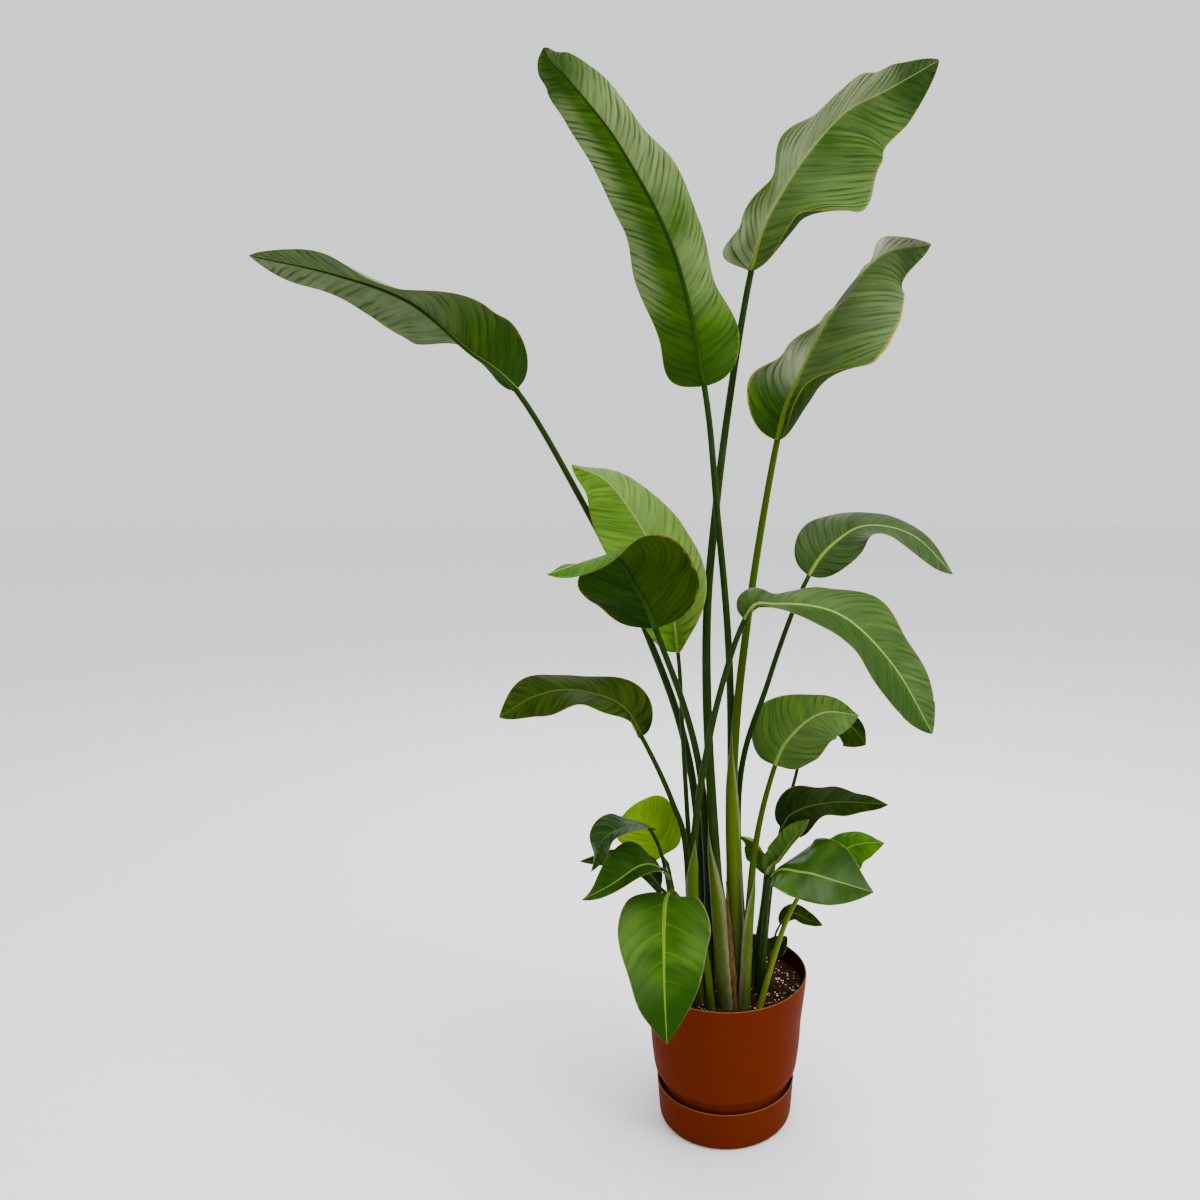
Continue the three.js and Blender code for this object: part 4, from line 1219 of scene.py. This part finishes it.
LEAVES = (
    Leaf("top_left", Outline.HOODED, Fineness.LARGE, (9, 5), Ripple(5, 3, 0.5),
         root=(6, -26), stalk=((6, -20, 795), (-20, -45, 1135), (-40, -70, 1320)),
         rib=((-85, -110, 1515), (-162, -165, 1656), (-230, -200, 1735), (-258, -205, 1762),
              (-268, -200, 1782)),
         face=((0.25, 1, 0), (0.1, 1, 0.2), (-0.1, 0.6, 0.8)),
         left=Half((66, 80, 70, 66, 66, 56, 64, 60), (5, 8, 16, 8, 8, 12, 20, 25),
                   (30, 50, 72, 60, 45, 60, 55, 40)),
         right=Half((80, 72, 86, 66, 58, 66, 85), (5, 30, 35, 35, 30, 25, 10),
                    (-10, -20, -25, -30, -35, -30, -20))),
    Leaf("top_right", Outline.LOBED, Fineness.LARGE, (10.5, 5.5), Ripple(6, 4, 0),
         root=(3, -80), stalk=((-35, -45, 795), (-20, -10, 1120), (40, 50, 1520)),
         rib=((95, 75, 1660), (190, 90, 1780), (275, 85, 1825), (350, 60, 1860)),
         face=((-0.3, -1, 0.1), (-0.1, -1, 0.2), (0.1, -1, -0.2)),
         left=Half((120, 100, 94, 100, 97, 96, 96, 100, 100), (30, 72, 82, 68, 80, 79, 68, 54, 45),
                   (20, 20, 20, 15, 10)),
         right=Half((110, 140, 142, 118, 110, 105), (10, 0, -5, 0, 5, 10), (85, 105, 15, 5, 10, 10)),
         wrap=Wrap(0.26, 1.15, 5.0, -95), upper=Skin.GREY_UPPER, under=Skin.SHADE_UNDER),
    Leaf("upper_right", Outline.BROAD, Fineness.LARGE, (10.5, 5.5), Ripple(6, 4, 1),
         root=(25, -53), stalk=((10, -52, 635), (35, -20, 930), (85, 15, 1235)),
         rib=((120, 30, 1340), (180, 45, 1455), (260, 50, 1545), (340, 30, 1560)),
         face=((-0.4, -1, 0.1), (-0.3, -1, 0.1), (0, -1, -0.4)),
         left=Half((78, 102, 96, 90, 85, 85), (34, 44, 74, 100, 110, 92, 52, 45), (20, 20, 0, 0, 0)),
         right=Half((100, 120, 130, 120, 115, 105), (0, 0, 0, 5, 10, 20), (120, 130, 40, 5, 5, 10)),
         wrap=Wrap(0.48, 1.08, 4.5, -45), upper=Skin.WORN_UPPER, under=Skin.SHADE_UNDER,
         upper_rib=Skin.GREEN_RIB, stalk_skin=Skin.LIGHT_STALK),
    Leaf("far_left", Outline.PADDLE, Fineness.LARGE, (9, 5), Ripple(7, 3, 2),
         root=(-35, -10), stalk=((-60, 0, 635), (-145, 20, 910), (-260, 30, 1145), (-360, 20, 1320)),
         rib=((-435, 0, 1385), (-525, -20, 1460), (-640, -40, 1500), (-765, -60, 1525)),
         face=((0.5, 1, 0.6), (0.2, 0.8, 0.8), (0, 0.8, 0.8)),
         left=Half((95, 100, 80, 75, 75), (70, 20, -20, -15, -10), (0, -40, 0)),
         right=Half((38, 42, 104, 64, 55, 75), (-20, 30, 0, -5, 0, 10), (0, 50, 20, 10, -5, -15)),
         under=Skin.FAR_UNDER),
    Leaf("centre_back", Outline.PADDLE, Fineness.LARGE, (6, 3.5), Ripple(4, 3, 0),
         root=(-48, -28), stalk=((-75, -35, 690), (-85, -30, 875)),
         rib=((-110, -40, 1020), (-190, -40, 1155), (-260, -35, 1195)),
         face=((0.3, -1, 0.2), (0.2, -1, 0.4), (0, -1, 0.5)),
         left=Half((70, 75, 80, 80), (20, 0, -10)),
         right=Half((70, 70, 70, 75), (70, 0, -30), (40, -20, -40)),
         upper=Skin.BRIGHT_UPPER),
    Leaf("centre_front", Outline.PADDLE, Fineness.LARGE, (9, 5), Ripple(5, 3, 0),
         root=(-26, -48), stalk=((-45, -38, 650), (-120, -105, 930)),
         rib=((-150, -135, 1005), (-185, -170, 1055), (-275, -230, 1035)),
         face=((0.2, 1, 0.2), (0, 0.6, 1), (0.1, -0.3, 1)),
         left=Half((100, 110, 110, 100), (10, 0, 0)),
         right=Half((120, 100, 60, 60), (20, 0, -20)),
         under=Skin.DRIED_UNDER, upper=Skin.LUSH_UPPER),
    Leaf("right_small", Outline.PADDLE, Fineness.LARGE, (8, 4), Ripple(4, 3, 0),
         root=(40, -30), stalk=((22, 2, 605), (72, -25, 825), (140, -10, 1005)),
         rib=((205, 10, 1075), (260, 10, 1090), (325, 0, 1070), (385, -20, 1010)),
         face=((-0.4, -1, 0.3), (-0.1, -1, 0.5), (0, -1, 0.6)),
         left=Half((70, 70, 65, 60), (20, -20, -20), (0, -60, -60)),
         right=Half((60, 65, 65, 60), (0, 40, 20), (0, 30, 0)),
         upper=Skin.DULL_UPPER),
    Leaf("right_arching", Outline.PADDLE, Fineness.LARGE, (9, 4.5), Ripple(4, 3, 0),
         root=(-48, -62), stalk=((-60, -85, 505), (-30, -115, 755), (25, -135, 950)),
         rib=((75, -140, 975), (175, -150, 960), (260, -160, 880), (325, -165, 770)),
         face=((0, -0.6, 1), (0.2, -0.8, 0.7), (0.4, -1, 0.3)),
         left=Half((60, 75, 80, 84, 80, 82, 100), (60, 5, -5, 0, -5, -5, -5),
                   (-40, -70, -35, -20, -20, -15, -15)),
         right=Half((85, 80, 80, 80), (40, 30, 20), (0, 0, -20)),
         wrap=Wrap(0.42, 1.15, 3.0, 15), tears=(Tear(-1, 0.9, 0.5, 5), Tear(1, 0.86, 0.35, 3)),
         upper=Skin.ARCH_UPPER),
    Leaf("right_round", Outline.HEART, Fineness.MEDIUM, (9, 4.5), Ripple(4, 3, 0),
         root=(27, -80), stalk=((45, -68, 510), (85, -20, 670)),
         rib=((124, 0, 728), (175, 18, 756), (238, 30, 748)),
         face=((-0.4, -1, 0.4), (-0.2, -0.8, 0.7), (0, -0.9, 0.6)),
         left=Half((65, 85, 50, 35), (0, 10, 50), (-30, -10, -20)),
         right=Half((66, 70, 80, 110), (15, 15, 0)),
         wrap=Wrap(0.5, 1.3, 3.0, 80), upper=Skin.MID_UPPER, stalk_skin=Skin.LIGHT_STALK),
    Leaf("right_hidden", Outline.OVAL, Fineness.SMALL, (5, 3), Ripple(2, 3, 0),
         root=(65, 25), stalk=((90, 35, 470), (130, 50, 635), (140, 60, 690)),
         rib=((180, 70, 725), (230, 75, 715), (260, 75, 680)),
         face=((-0.4, -1, 0.4), (-0.2, -0.8, 0.7), (0.2, -1, 0.3)),
         left=Half((30, 30), (10, 10)),
         right=Half((20, 30, 85), (5, 5)),
         upper=Skin.SHADE_UPPER, upper_rib=Skin.DARK_RIB),
    Leaf("right_dark", Outline.HEART, Fineness.MEDIUM, (7, 3.5), Ripple(3, 3, 0),
         root=(60, 4), stalk=((75, 8, 410), (100, 0, 545)),
         rib=((130, -10, 585), (195, -25, 605), (280, -50, 610)),
         face=((-0.3, 0.1, 1), (0, -0.2, 1), (0, -0.3, 1)),
         left=Half((55, 60, 60, 60), (50, 10, 0), (0, -20, -20)),
         right=Half((60, 50, 50, 50), (-45, 0, -10), (-60, 0, -20)),
         upper=Skin.SHADE_UPPER, under=Skin.SHADE_UNDER, upper_rib=Skin.DARK_RIB),
    Leaf("low_right_back", Outline.HEART, Fineness.MEDIUM, (7, 3.5), Ripple(2, 2, 0),
         root=(42, -92), stalk=((105, -45, 390), (170, -15, 480)),
         rib=((220, 0, 510), (255, 0, 520), (285, 0, 520)),
         face=((-0.3, -0.3, 1), (0, -0.5, 1), (0.2, -0.3, 1)),
         left=Half((45, 50), (-20, 0, 0), (-20, -20)),
         right=Half((50, 50), (10, 0, -30), (0, -20)),
         upper=Skin.LUSH_UPPER, upper_rib=Skin.GREEN_RIB, stalk_skin=Skin.LIME_STALK),
    Leaf("low_right_heart", Outline.HEART, Fineness.MEDIUM, (7, 3.5), Ripple(2, 2, 0),
         root=(60, -50), stalk=((66, -58, 345), (77, -78, 490)),
         rib=((127, -105, 510), (182, -130, 505), (240, -150, 495)),
         face=((0, -0.3, 1), (0, -0.6, 1), (0.1, -0.6, 1)),
         left=Half((40, 75, 85, 60), (0, 10, 20), (-60, 0, 0)),
         right=Half((50, 50, 60, 60), (0, -10, -40), (0, 0, -20)),
         upper=Skin.LEAFY_HEART),
    Leaf("low_folded", Outline.OVAL, Fineness.SMALL, (6, 3.5), Ripple(2, 2, 0),
         root=(53, -32), stalk=((60, -40, 365), (72, -56, 485)),
         rib=((92, -60, 515), (112, -64, 548), (140, -75, 592)),
         face=((-1, -0.6, 0.6), (-1, -0.6, 0.5), (-1, -0.6, 0.5)),
         left=Half((28, 28), (55, 20)),
         right=Half((28, 28), (55, 25)),
         upper=Skin.MID_UPPER, upper_rib=Skin.GREEN_RIB, under=Skin.MID_UPPER),
    Leaf("low_curved", Outline.OVAL, Fineness.SMALL, (6, 3.5), Ripple(1, 2, 0),
         root=(34, -8), stalk=((60, -8, 360), (70, -15, 465)),
         rib=((65, -25, 505), (48, -28, 535), (22, -30, 545)),
         face=((-1, -0.5, -0.5), (-0.4, -0.6, -0.7), (0, -0.6, -1)),
         left=Half((32, 32), (30, 30)),
         right=Half((24, 24), (30, 30)),
         # Its under side stands in shade but takes the lime finish: painted light.
         upper=Skin.LUSH_UPPER, under=Skin.LIME_HEART),
    Leaf("left_arching", Outline.PADDLE, Fineness.MEDIUM, (8, 4), Ripple(3, 3, 0),
         root=(-62, -42), stalk=((-70, -60, 515), (-95, -75, 625), (-145, -95, 745)),
         rib=((-180, -115, 805), (-250, -140, 835), (-310, -160, 830), (-365, -175, 800)),
         face=((0.4, 0.5, 1), (0, -0.1, 1), (-0.3, -0.4, 1)),
         left=Half((50, 55), (-20, 0, -40), (-40, -20, -20)),
         right=Half((50, 50), (110, 30, 60), (80, -40, 0)),
         upper=Skin.SHADED_UPPER, under=Skin.SHADE_UNDER, upper_rib=Skin.DARK_RIB),
    Leaf("low_left_bright", Outline.HOODED, Fineness.MEDIUM, (5, 3), Ripple(2, 2, 0),
         root=(-60, -2), stalk=((-100, 5, 450), (-115, 8, 490)),
         rib=((-140, 12, 540), (-155, 15, 570), (-165, 18, 585)),
         face=((0.2, -1, 0.6), (0.1, -1, 0.5), (0, -1, 0.3)),
         left=Half((40, 45, 60, 90), (20, 10, 0)),
         right=Half((45, 55, 60, 80), (0, 0, 0), (-20, 0, 0)),
         upper=Skin.LIME_HEART, upper_rib=Skin.GREEN_RIB, stalk_skin=Skin.LIGHT_STALK),
    Leaf("low_left_glossy", Outline.HEART, Fineness.MEDIUM, (5, 3), Ripple(2, 2, 0),
         root=(-78, -28), stalk=((-105, -45, 470), (-135, -70, 575)),
         rib=((-170, -90, 585), (-210, -110, 570), (-230, -125, 520)),
         face=((0.2, 0.2, 1), (-0.3, -0.5, 1), (-0.6, -0.8, 0.5)),
         left=Half((45, 45, 45, 40), (0, 20, -20), (0, 20, -20)),
         right=Half((45, 45, 45, 40), (0, 10, -30), (-40, 0, -50)),
         upper=Skin.DARK_HEART, upper_rib=Skin.DARK_RIB),
    Leaf("low_left_olive", Outline.HEART, Fineness.MEDIUM, (5, 3), Ripple(3, 2, 0),
         root=(-78, -52), stalk=((-100, -75, 465), (-115, -100, 515)),
         rib=((-145, -135, 535), (-190, -175, 520), (-236, -203, 506)),
         face=((0.2, -0.3, 1), (0, -0.6, 1), (-0.3, -0.6, 1)),
         left=Half((55, 50, 45, 40), (0, 30, 0), (0, 20, 0)),
         right=Half((55, 50, 45, 40), (0, 20, -10), (0, 0, -30)),
         upper=Skin.OLIVE_UPPER, upper_rib=Skin.GREEN_RIB),
    Leaf("low_left_shaded", Outline.HEART, Fineness.MEDIUM, (5, 3), Ripple(2, 2, 0),
         root=(-82, -6), stalk=((-105, -20, 410), (-115, -40, 450)),
         rib=((-150, -50, 495), (-200, -60, 510), (-255, -70, 515)),
         face=((0.2, -0.3, 1), (0, -0.3, 1), (-0.3, -0.3, 1)),
         left=Half((35, 35), (10, 10)),
         right=Half((35, 35), (10, 10)),
         upper=Skin.SHADE_UPPER, under=Skin.SHADE_UNDER, upper_rib=Skin.DARK_RIB),
    Leaf("front_heart", Outline.HEART, Fineness.MEDIUM, (8, 4), Ripple(2, 2, 0),
         root=(-22, -92), stalk=((-42, -108, 385), (-84, -128, 475), (-99, -149, 492)),
         rib=((-105, -182, 471), (-105, -205, 370), (-101, -208, 260)),
         face=((0, -0.7, 1), (0, -1, 0.5), (0, -1, 0.4)),
         left=Half((78, 78, 84, 78), (10, -15, -10), (0, -20, -10)),
         right=Half((80, 76, 70, 72), (-10, 30, 10), (0, 10, 0)),
         upper=Skin.HEART_UPPER, upper_rib=Skin.GREEN_RIB, stalk_skin=Skin.LIGHT_STALK),
    Leaf("seedling_curled", Outline.OVAL, Fineness.SMALL, (3, 2), Ripple(1, 2, 0),
         root=(74, -12), stalk=((84, -8, 318), (100, 8, 360)),
         rib=((124, 15, 378), (151, 15, 366), (178, 10, 357)),
         face=((-0.3, -0.6, 1), (0, -0.6, 1), (0, -0.6, 1)),
         left=Half((18, 18), (20, 10)),
         right=Half((18, 18), (20, 10)),
         upper=Skin.SHADE_UPPER, upper_rib=Skin.DARK_RIB),
    Leaf("seedling_round", Outline.OVAL, Fineness.SMALL, (3, 2), Ripple(1, 2, 0),
         root=(82, -38), stalk=((80, -32, 280), (80, -25, 310)),
         rib=((85, -20, 325), (100, -20, 340), (110, -20, 350)),
         face=((-0.2, -1, 0.6), (-0.2, -1, 0.6)),
         left=Half((18, 18), (10, 10)),
         right=Half((20, 20), (10, 10)),
         upper=Skin.SHADE_UPPER, upper_rib=Skin.DARK_RIB),
)


@dataclass(frozen=True)
class Husk:
    """Dry leaf base that stands between the front stalks."""

    route: tuple[Triple, ...] = ((16, -97, 195), (12, -98, 300), (5, -98, 390), (-2, -98, 490))
    widths: tuple[float, ...] = (5, 5, 4, 1.2)
    cup: float = 35.0
    fray: float = 0.35
    crinkle: float = 0.8
    thickness: float = 0.7
    columns: int = 12
    rows: int = 90

    def shape(self) -> bmesh.types.BMesh:
        """The cupped strip, with a frayed edge and crinkled faces."""
        route = Route(self.route, 0, len(self.route) - 1)
        mesh = bmesh.new()
        mesh.loops.layers.uv.new(LEAF_CHART)
        bmesh.ops.create_grid(mesh, x_segments=self.columns, y_segments=self.rows, size=1.0)
        places = {}
        cup = math.radians(self.cup)
        for vert in mesh.verts:
            s, t = vert.co.x, (vert.co.y + 1) / 2
            places[vert] = ((s + 1) / 2, t)
            stop = route.at(t)
            up = stop.square(Vector((0, -1, 0)))
            across = stop.ahead.cross(up)
            fray = 1 + self.fray * noise.noise(Vector((s * 2, t * 22, 1.5))) * abs(s) ** 3
            reach = along(self.widths, t) * MM / math.sin(cup) * fray
            crinkle = self.crinkle * MM * noise.noise(Vector((s * 3, t * 30, 7.0)))
            rise = reach * (math.cos(cup * s) - 1) + crinkle
            vert.co = stop.point + across * (reach * math.sin(cup * s)) + up * rise
        chart_faces(mesh, places)
        bmesh.ops.solidify(mesh, geom=list(mesh.faces), thickness=self.thickness * MM)
        return mesh

    def build(self) -> None:
        """Add the husk."""
        add_piece("dry_husk_skin", self.shape(), [HuskFinish()], ["dry_husk"])


# Pot, tray and potting mix.


def spun(profile: Profile, segments: int) -> bmesh.types.BMesh:
    """Closed solid of revolution.

    Args:
        profile: (radius, height) points in millimetres, from axis to axis.
        segments: faces round it.

    Returns:
        The solid, its faces pointing outwards.
    """
    mesh = bmesh.new()
    verts = [mesh.verts.new((r * MM, 0, z * MM)) for r, z in profile]
    edges = [mesh.edges.new(pair) for pair in zip(verts, verts[1:])]
    bmesh.ops.spin(mesh, geom=verts + edges, cent=(0, 0, 0), axis=(0, 0, 1), angle=math.tau,
                   steps=segments, use_merge=True)
    bmesh.ops.remove_doubles(mesh, verts=mesh.verts, dist=0.01 * MM)
    bmesh.ops.recalc_face_normals(mesh, faces=mesh.faces)
    return mesh


def softened(profile: Profile, passes: int = 2) -> Profile:
    """Profile with its corners cut and eased, its ends kept."""
    points = list(profile)
    for _ in range(passes):
        eased = [points[0]]
        for (ra, za), (rb, zb) in zip(points, points[1:]):
            for share in (0.25, 0.75):
                eased.append(((1 - share) * ra + share * rb, (1 - share) * za + share * zb))
        points = [*eased, points[-1]]
    return points


@dataclass(frozen=True)
class Planter:
    """The tapered pot and the water tray that it stands in."""

    segments: int = 144
    floor_under: float = 24.0
    floor_top: float = 27.0
    floor_edge: float = 113.0
    floor_inside: float = 111.0
    ring_inner: float = 60.0
    ring_outer: float = 64.0
    ring_foot: float = 4.3
    drain_inner: float = 84.0
    drain_outer: float = 92.0
    drain_half: float = 4.5
    drains: int = 8
    side: Profile = (
        (116, 28), (117, 68), (117.5, 80), (119.5, 86), (125, 91), (129.5, 96), (131.5, 104), (133, 115),
        (137, 150), (138.5, 187), (140, 201), (143.5, 228), (146.5, 255), (147.5, 270))
    lip: Profile = ((148, 273), (148, 276), (147.3, 277.6), (146.2, 278), (145.4, 277.7), (144.9, 276))
    inside: Profile = (
        (144.8, 268), (141, 228), (136, 187), (134.5, 150), (130, 116), (128.5, 106), (126.3, 99),
        (122.2, 94), (116.5, 88.5), (114.5, 82), (114, 70), (113, 30))
    tray_foot: Profile = ((0, 0), (112, 0), (115, 0.6))
    tray_side: Profile = ((118, 2), (121.5, 7), (122.5, 14), (126.4, 70))
    tray_rim: Profile = ((126.7, 71.8), (126.4, 72.8), (125.3, 73), (124.3, 72.6), (124, 71.5))
    tray_inside: Profile = ((123.9, 70), (120, 14), (119, 7))
    tray_floor: Profile = ((115, 4), (0, 4))

    def pot(self) -> bmesh.types.BMesh:
        """The pot, with its lip, drained floor and foot ring; its inner wall has the second material, a
        darker copy that paints shade.
        """
        under = self.floor_under
        foot = [(0, under), (self.ring_inner, under), (self.ring_inner, self.ring_foot),
                (self.ring_outer, self.ring_foot), (self.ring_outer, under), (self.drain_inner, under),
                (self.drain_outer, under), (self.floor_edge, under)]
        floor = [(radius, self.floor_top)
                 for radius in (self.floor_inside, self.drain_outer, self.drain_inner, 0)]
        wall = softened([*self.side, *self.lip, *self.inside])
        mesh = spun([*foot, *wall, *floor], self.segments)
        for face in mesh.faces:
            centre = face.calc_center_median()
            faces_in = face.normal.xy.dot(centre.xy) < -0.5 * centre.xy.length
            if centre.z > self.floor_top * MM and faces_in:
                face.material_index = 1
        self._drill(mesh)
        return mesh

    def _drill(self, mesh: bmesh.types.BMesh) -> None:
        """Open the drain holes through the pot's floor."""
        low, high = self.drain_inner * MM, self.drain_outer * MM
        top = self.floor_top * MM + CLOSE
        step = math.tau / self.drains
        opened: dict[int, list[bmesh.types.BMFace]] = {}
        for face in mesh.faces:
            centre = face.calc_center_median()
            turn = math.atan2(centre.y, centre.x) % math.tau
            near = round(turn / step)
            across = abs(turn - near * step) * centre.xy.length
            if low < centre.xy.length < high and centre.z < top and across < self.drain_half * MM:
                opened.setdefault(near % self.drains, []).append(face)
        for faces in opened.values():
            rims = {e for f in faces for e in f.edges if sum(g in faces for g in e.link_faces) == 1}
            bmesh.ops.delete(mesh, geom=faces, context="FACES")
            bmesh.ops.bridge_loops(mesh, edges=[e for e in rims if e.is_valid])

    def tray(self) -> bmesh.types.BMesh:
        """The water tray."""
        wall = softened([*self.tray_side, *self.tray_rim, *self.tray_inside])
        return spun([*self.tray_foot, *wall, *self.tray_floor], self.segments)

    def build(self) -> None:
        """Add the pot and the tray."""
        # Painted shade: the inner wall takes a darker copy of the pot's colour.
        inner = PotFinish("burnt_terracotta_inner_shade", (0.018, 0.003, 0.0), (0.024, 0.004, 0.0))
        # The tray's painted highlight runs along the top of its rim.
        tray = PotFinish("burnt_terracotta_tray", highlight_from=71.6, highlight_to=72.7)
        add_piece("pot_skin", self.pot(), [PotFinish(), inner], ["pot"])
        add_piece("water_tray_skin", self.tray(), [tray], ["water_tray"])


@dataclass(frozen=True)
class PottingMix:
    """The bed of potting mix with its loose bark and white grains."""

    seed: int = 7
    segments: int = 120
    rings: int = 40
    edge_radius: float = 142.4
    edge_z: float = 248.0
    middle_z: float = 251.0
    margin: float = 5.0
    coarse: float = 2.2
    fine: float = 1.1
    grains: int = 420
    grain_size: tuple[float, float] = (0.8, 2.3)
    barks: int = 520
    bark_size: tuple[tuple[float, float], ...] = ((2, 9), (1.5, 5), (1, 2.5))
    bark_tilt: tuple[tuple[float, float], ...] = ((-0.6, 0.6), (-0.6, 0.6), (0, 3.1))
    wall: Profile = (
        (108, 27.5), (112.5, 30), (113.4, 70), (113.9, 83), (115.8, 90), (121.6, 96), (125.6, 101),
        (127.8, 108), (129.3, 117), (134, 150), (135.4, 187), (140.4, 228))

    coarse_scale = 38
    fine_scale = 160

    def level(self, x: float, y: float) -> float:
        """Height of the bed's surface at a place, in metres."""
        radius = math.hypot(x, y)
        crown = self.edge_z + (self.middle_z - self.edge_z) * (1 - radius / (self.edge_radius * MM))
        coarse = noise.noise(Vector((x * self.coarse_scale, y * self.coarse_scale, 3.0))) * self.coarse
        fine = noise.noise(Vector((x * self.fine_scale, y * self.fine_scale, 9.0))) * self.fine
        return (crown + coarse + fine) * MM

    def bed(self) -> bmesh.types.BMesh:
        """The bed: a plain underside with a crumbly top."""
        top = [(self.edge_radius * (1 - k / self.rings), self.edge_z) for k in range(self.rings)]
        mesh = spun([(0, self.wall[0][1]), *self.wall, *top, (0, self.middle_z)], self.segments)
        for vert in mesh.verts:
            if vert.co.z > (self.edge_z - self.margin) * MM:
                vert.co.z = self.level(vert.co.x, vert.co.y)
        return mesh

    def _scatter(self, count: int, draw: random.Random) -> list[Vector]:
        """Places spread over the bed's surface."""
        places = []
        for _ in range(count):
            radius = (self.edge_radius - self.margin) * MM * math.sqrt(draw.random())
            turn = draw.uniform(0, math.tau)
            x, y = radius * math.cos(turn), radius * math.sin(turn)
            places.append(Vector((x, y, self.level(x, y))))
        return places

    def grain_mesh(self) -> bmesh.types.BMesh:
        """The white grains, half sunk in the bed."""
        draw = random.Random(self.seed)
        mesh = bmesh.new()
        for place in self._scatter(self.grains, draw):
            size = draw.uniform(*self.grain_size) * MM
            made = bmesh.ops.create_icosphere(mesh, subdivisions=1, radius=size)["verts"]
            bmesh.ops.scale(mesh, verts=made, vec=(draw.uniform(0.7, 1.3), draw.uniform(0.7, 1.3), 0.8))
            for vert in made:
                vert.co *= draw.uniform(0.85, 1.12)
            bmesh.ops.translate(mesh, verts=made, vec=place + Vector((0, 0, size * 0.35)))
        return mesh

    def bark_mesh(self) -> bmesh.types.BMesh:
        """The bark crumbs, lying every way on the bed."""
        draw = random.Random(self.seed + 1)
        mesh = bmesh.new()
        for place in self._scatter(self.barks, draw):
            made = bmesh.ops.create_cube(mesh, size=1.0)["verts"]
            size = [draw.uniform(*span) * MM for span in self.bark_size]
            bmesh.ops.scale(mesh, verts=made, vec=size)
            for vert in made:
                vert.co *= draw.uniform(0.75, 1.15)
            tilt = Euler([draw.uniform(*span) for span in self.bark_tilt]).to_matrix()
            bmesh.ops.rotate(mesh, verts=made, cent=(0, 0, 0), matrix=tilt)
            bmesh.ops.translate(mesh, verts=made, vec=place + Vector((0, 0, size[2] * 0.4)))
        return mesh

    def build(self) -> None:
        """Add the bed and what lies on it."""
        peat = CrumbFinish("peat", (0.005, 0.002, 0.001), (0.042, 0.016, 0.007), 160.0, 2.0)
        bark = CrumbFinish("bark", (0.012, 0.004, 0.002), (0.08, 0.032, 0.015), 220.0, 0.6)
        white = CrumbFinish("white_grains", (0.5, 0.45, 0.4), (0.85, 0.82, 0.76), 300.0, 0.4)
        add_piece("soil_bed", self.bed(), [peat], ["soil"])
        add_piece("bark_crumbs", self.bark_mesh(), [bark], smooth=False)
        add_piece("white_grains", self.grain_mesh(), [white])


# Studio.


@dataclass(frozen=True)
class Lamp:
    """One soft square light, aimed at a point."""

    name: str
    place: Triple
    target: Triple
    size: float
    watts: float
    tint: Colour = (1, 1, 1)

    def build(self) -> None:
        """Add the light."""
        light = bpy.data.lights.new(self.name, "AREA")
        light.shape = "SQUARE"
        light.size = self.size
        light.energy = self.watts
        light.color = self.tint
        aim = Vector(self.target) - Vector(self.place)
        lamp = placed(self.name, light)
        lamp.location = self.place
        lamp.rotation_euler = aim.to_track_quat("-Z", "Y").to_euler()


@dataclass(frozen=True)
class Studio:
    """Pale floor, soft light all round, and the camera in front.

    The lens looks a little down, and its frame is shifted so that the pot's axis falls on a given
    column of a square frame.
    """

    camera_place: Triple = (-0.047, -1.717, 1.215)
    camera_pitch: float = 8.4
    lens: float = 30.0
    sensor: float = 36.0
    frame_size: float = 1200.0
    axis_column: float = 700.0
    floor_size: float = 30.0
    world_colour: Colour = (1.0, 1.0, 1.0)
    world_strength: float = 1.2
    lamps: tuple[Lamp, ...] = (
        Lamp("top_light", (0.6, -0.4, 4.0), (0, 0, 0.8), 3.0, 150),
        Lamp("key_light", (2.6, -1.6, 2.4), (0, 0, 1.1), 1.6, 80),
        Lamp("back_light", (-0.8, 2.6, 2.8), (0, 0, 1.3), 2.0, 40),
    )

    def camera(self) -> None:
        """Add the camera."""
        data = bpy.data.cameras.new("photo_camera")
        data.lens = self.lens
        data.sensor_width = self.sensor
        data.shift_x = (self.frame_size / 2 - self.axis_column) / self.frame_size
        data.clip_start = 0.05
        data.clip_end = 100
        camera = placed("photo_camera", data)
        camera.location = self.camera_place
        camera.rotation_euler = (math.radians(90 - self.camera_pitch), 0, 0)
        bpy.context.scene.camera = camera

    def floor(self) -> None:
        """Add the floor."""
        mesh = bmesh.new()
        bmesh.ops.create_grid(mesh, x_segments=1, y_segments=1, size=self.floor_size / 2)
        solid("floor", mesh, [FloorFinish()])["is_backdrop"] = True

    def world(self) -> None:
        """Light the scene evenly from all round."""
        world = bpy.data.worlds.new("studio")
        world.use_nodes = True
        back = world.node_tree.nodes["Background"]
        back.inputs["Color"].default_value = (*self.world_colour, 1.0)
        back.inputs["Strength"].default_value = self.world_strength
        bpy.context.scene.world = world

    def build(self) -> None:
        """Add everything that isn't the plant."""
        self.camera()
        self.floor()
        self.world()
        for lamp in self.lamps:
            lamp.build()


def main() -> None:
    """Build the studio, the planter, the potting mix and every leaf."""
    logging.basicConfig(level=logging.INFO, format="%(message)s")
    Studio().build()
    Planter().build()
    PottingMix().build()
    Husk().build()
    for leaf in LEAVES:
        leaf.build()
    cad, visual = ([list(corner) for corner in bounds] for bounds in (CAD_BOX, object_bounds()))


if __name__ == "__main__":
    main()
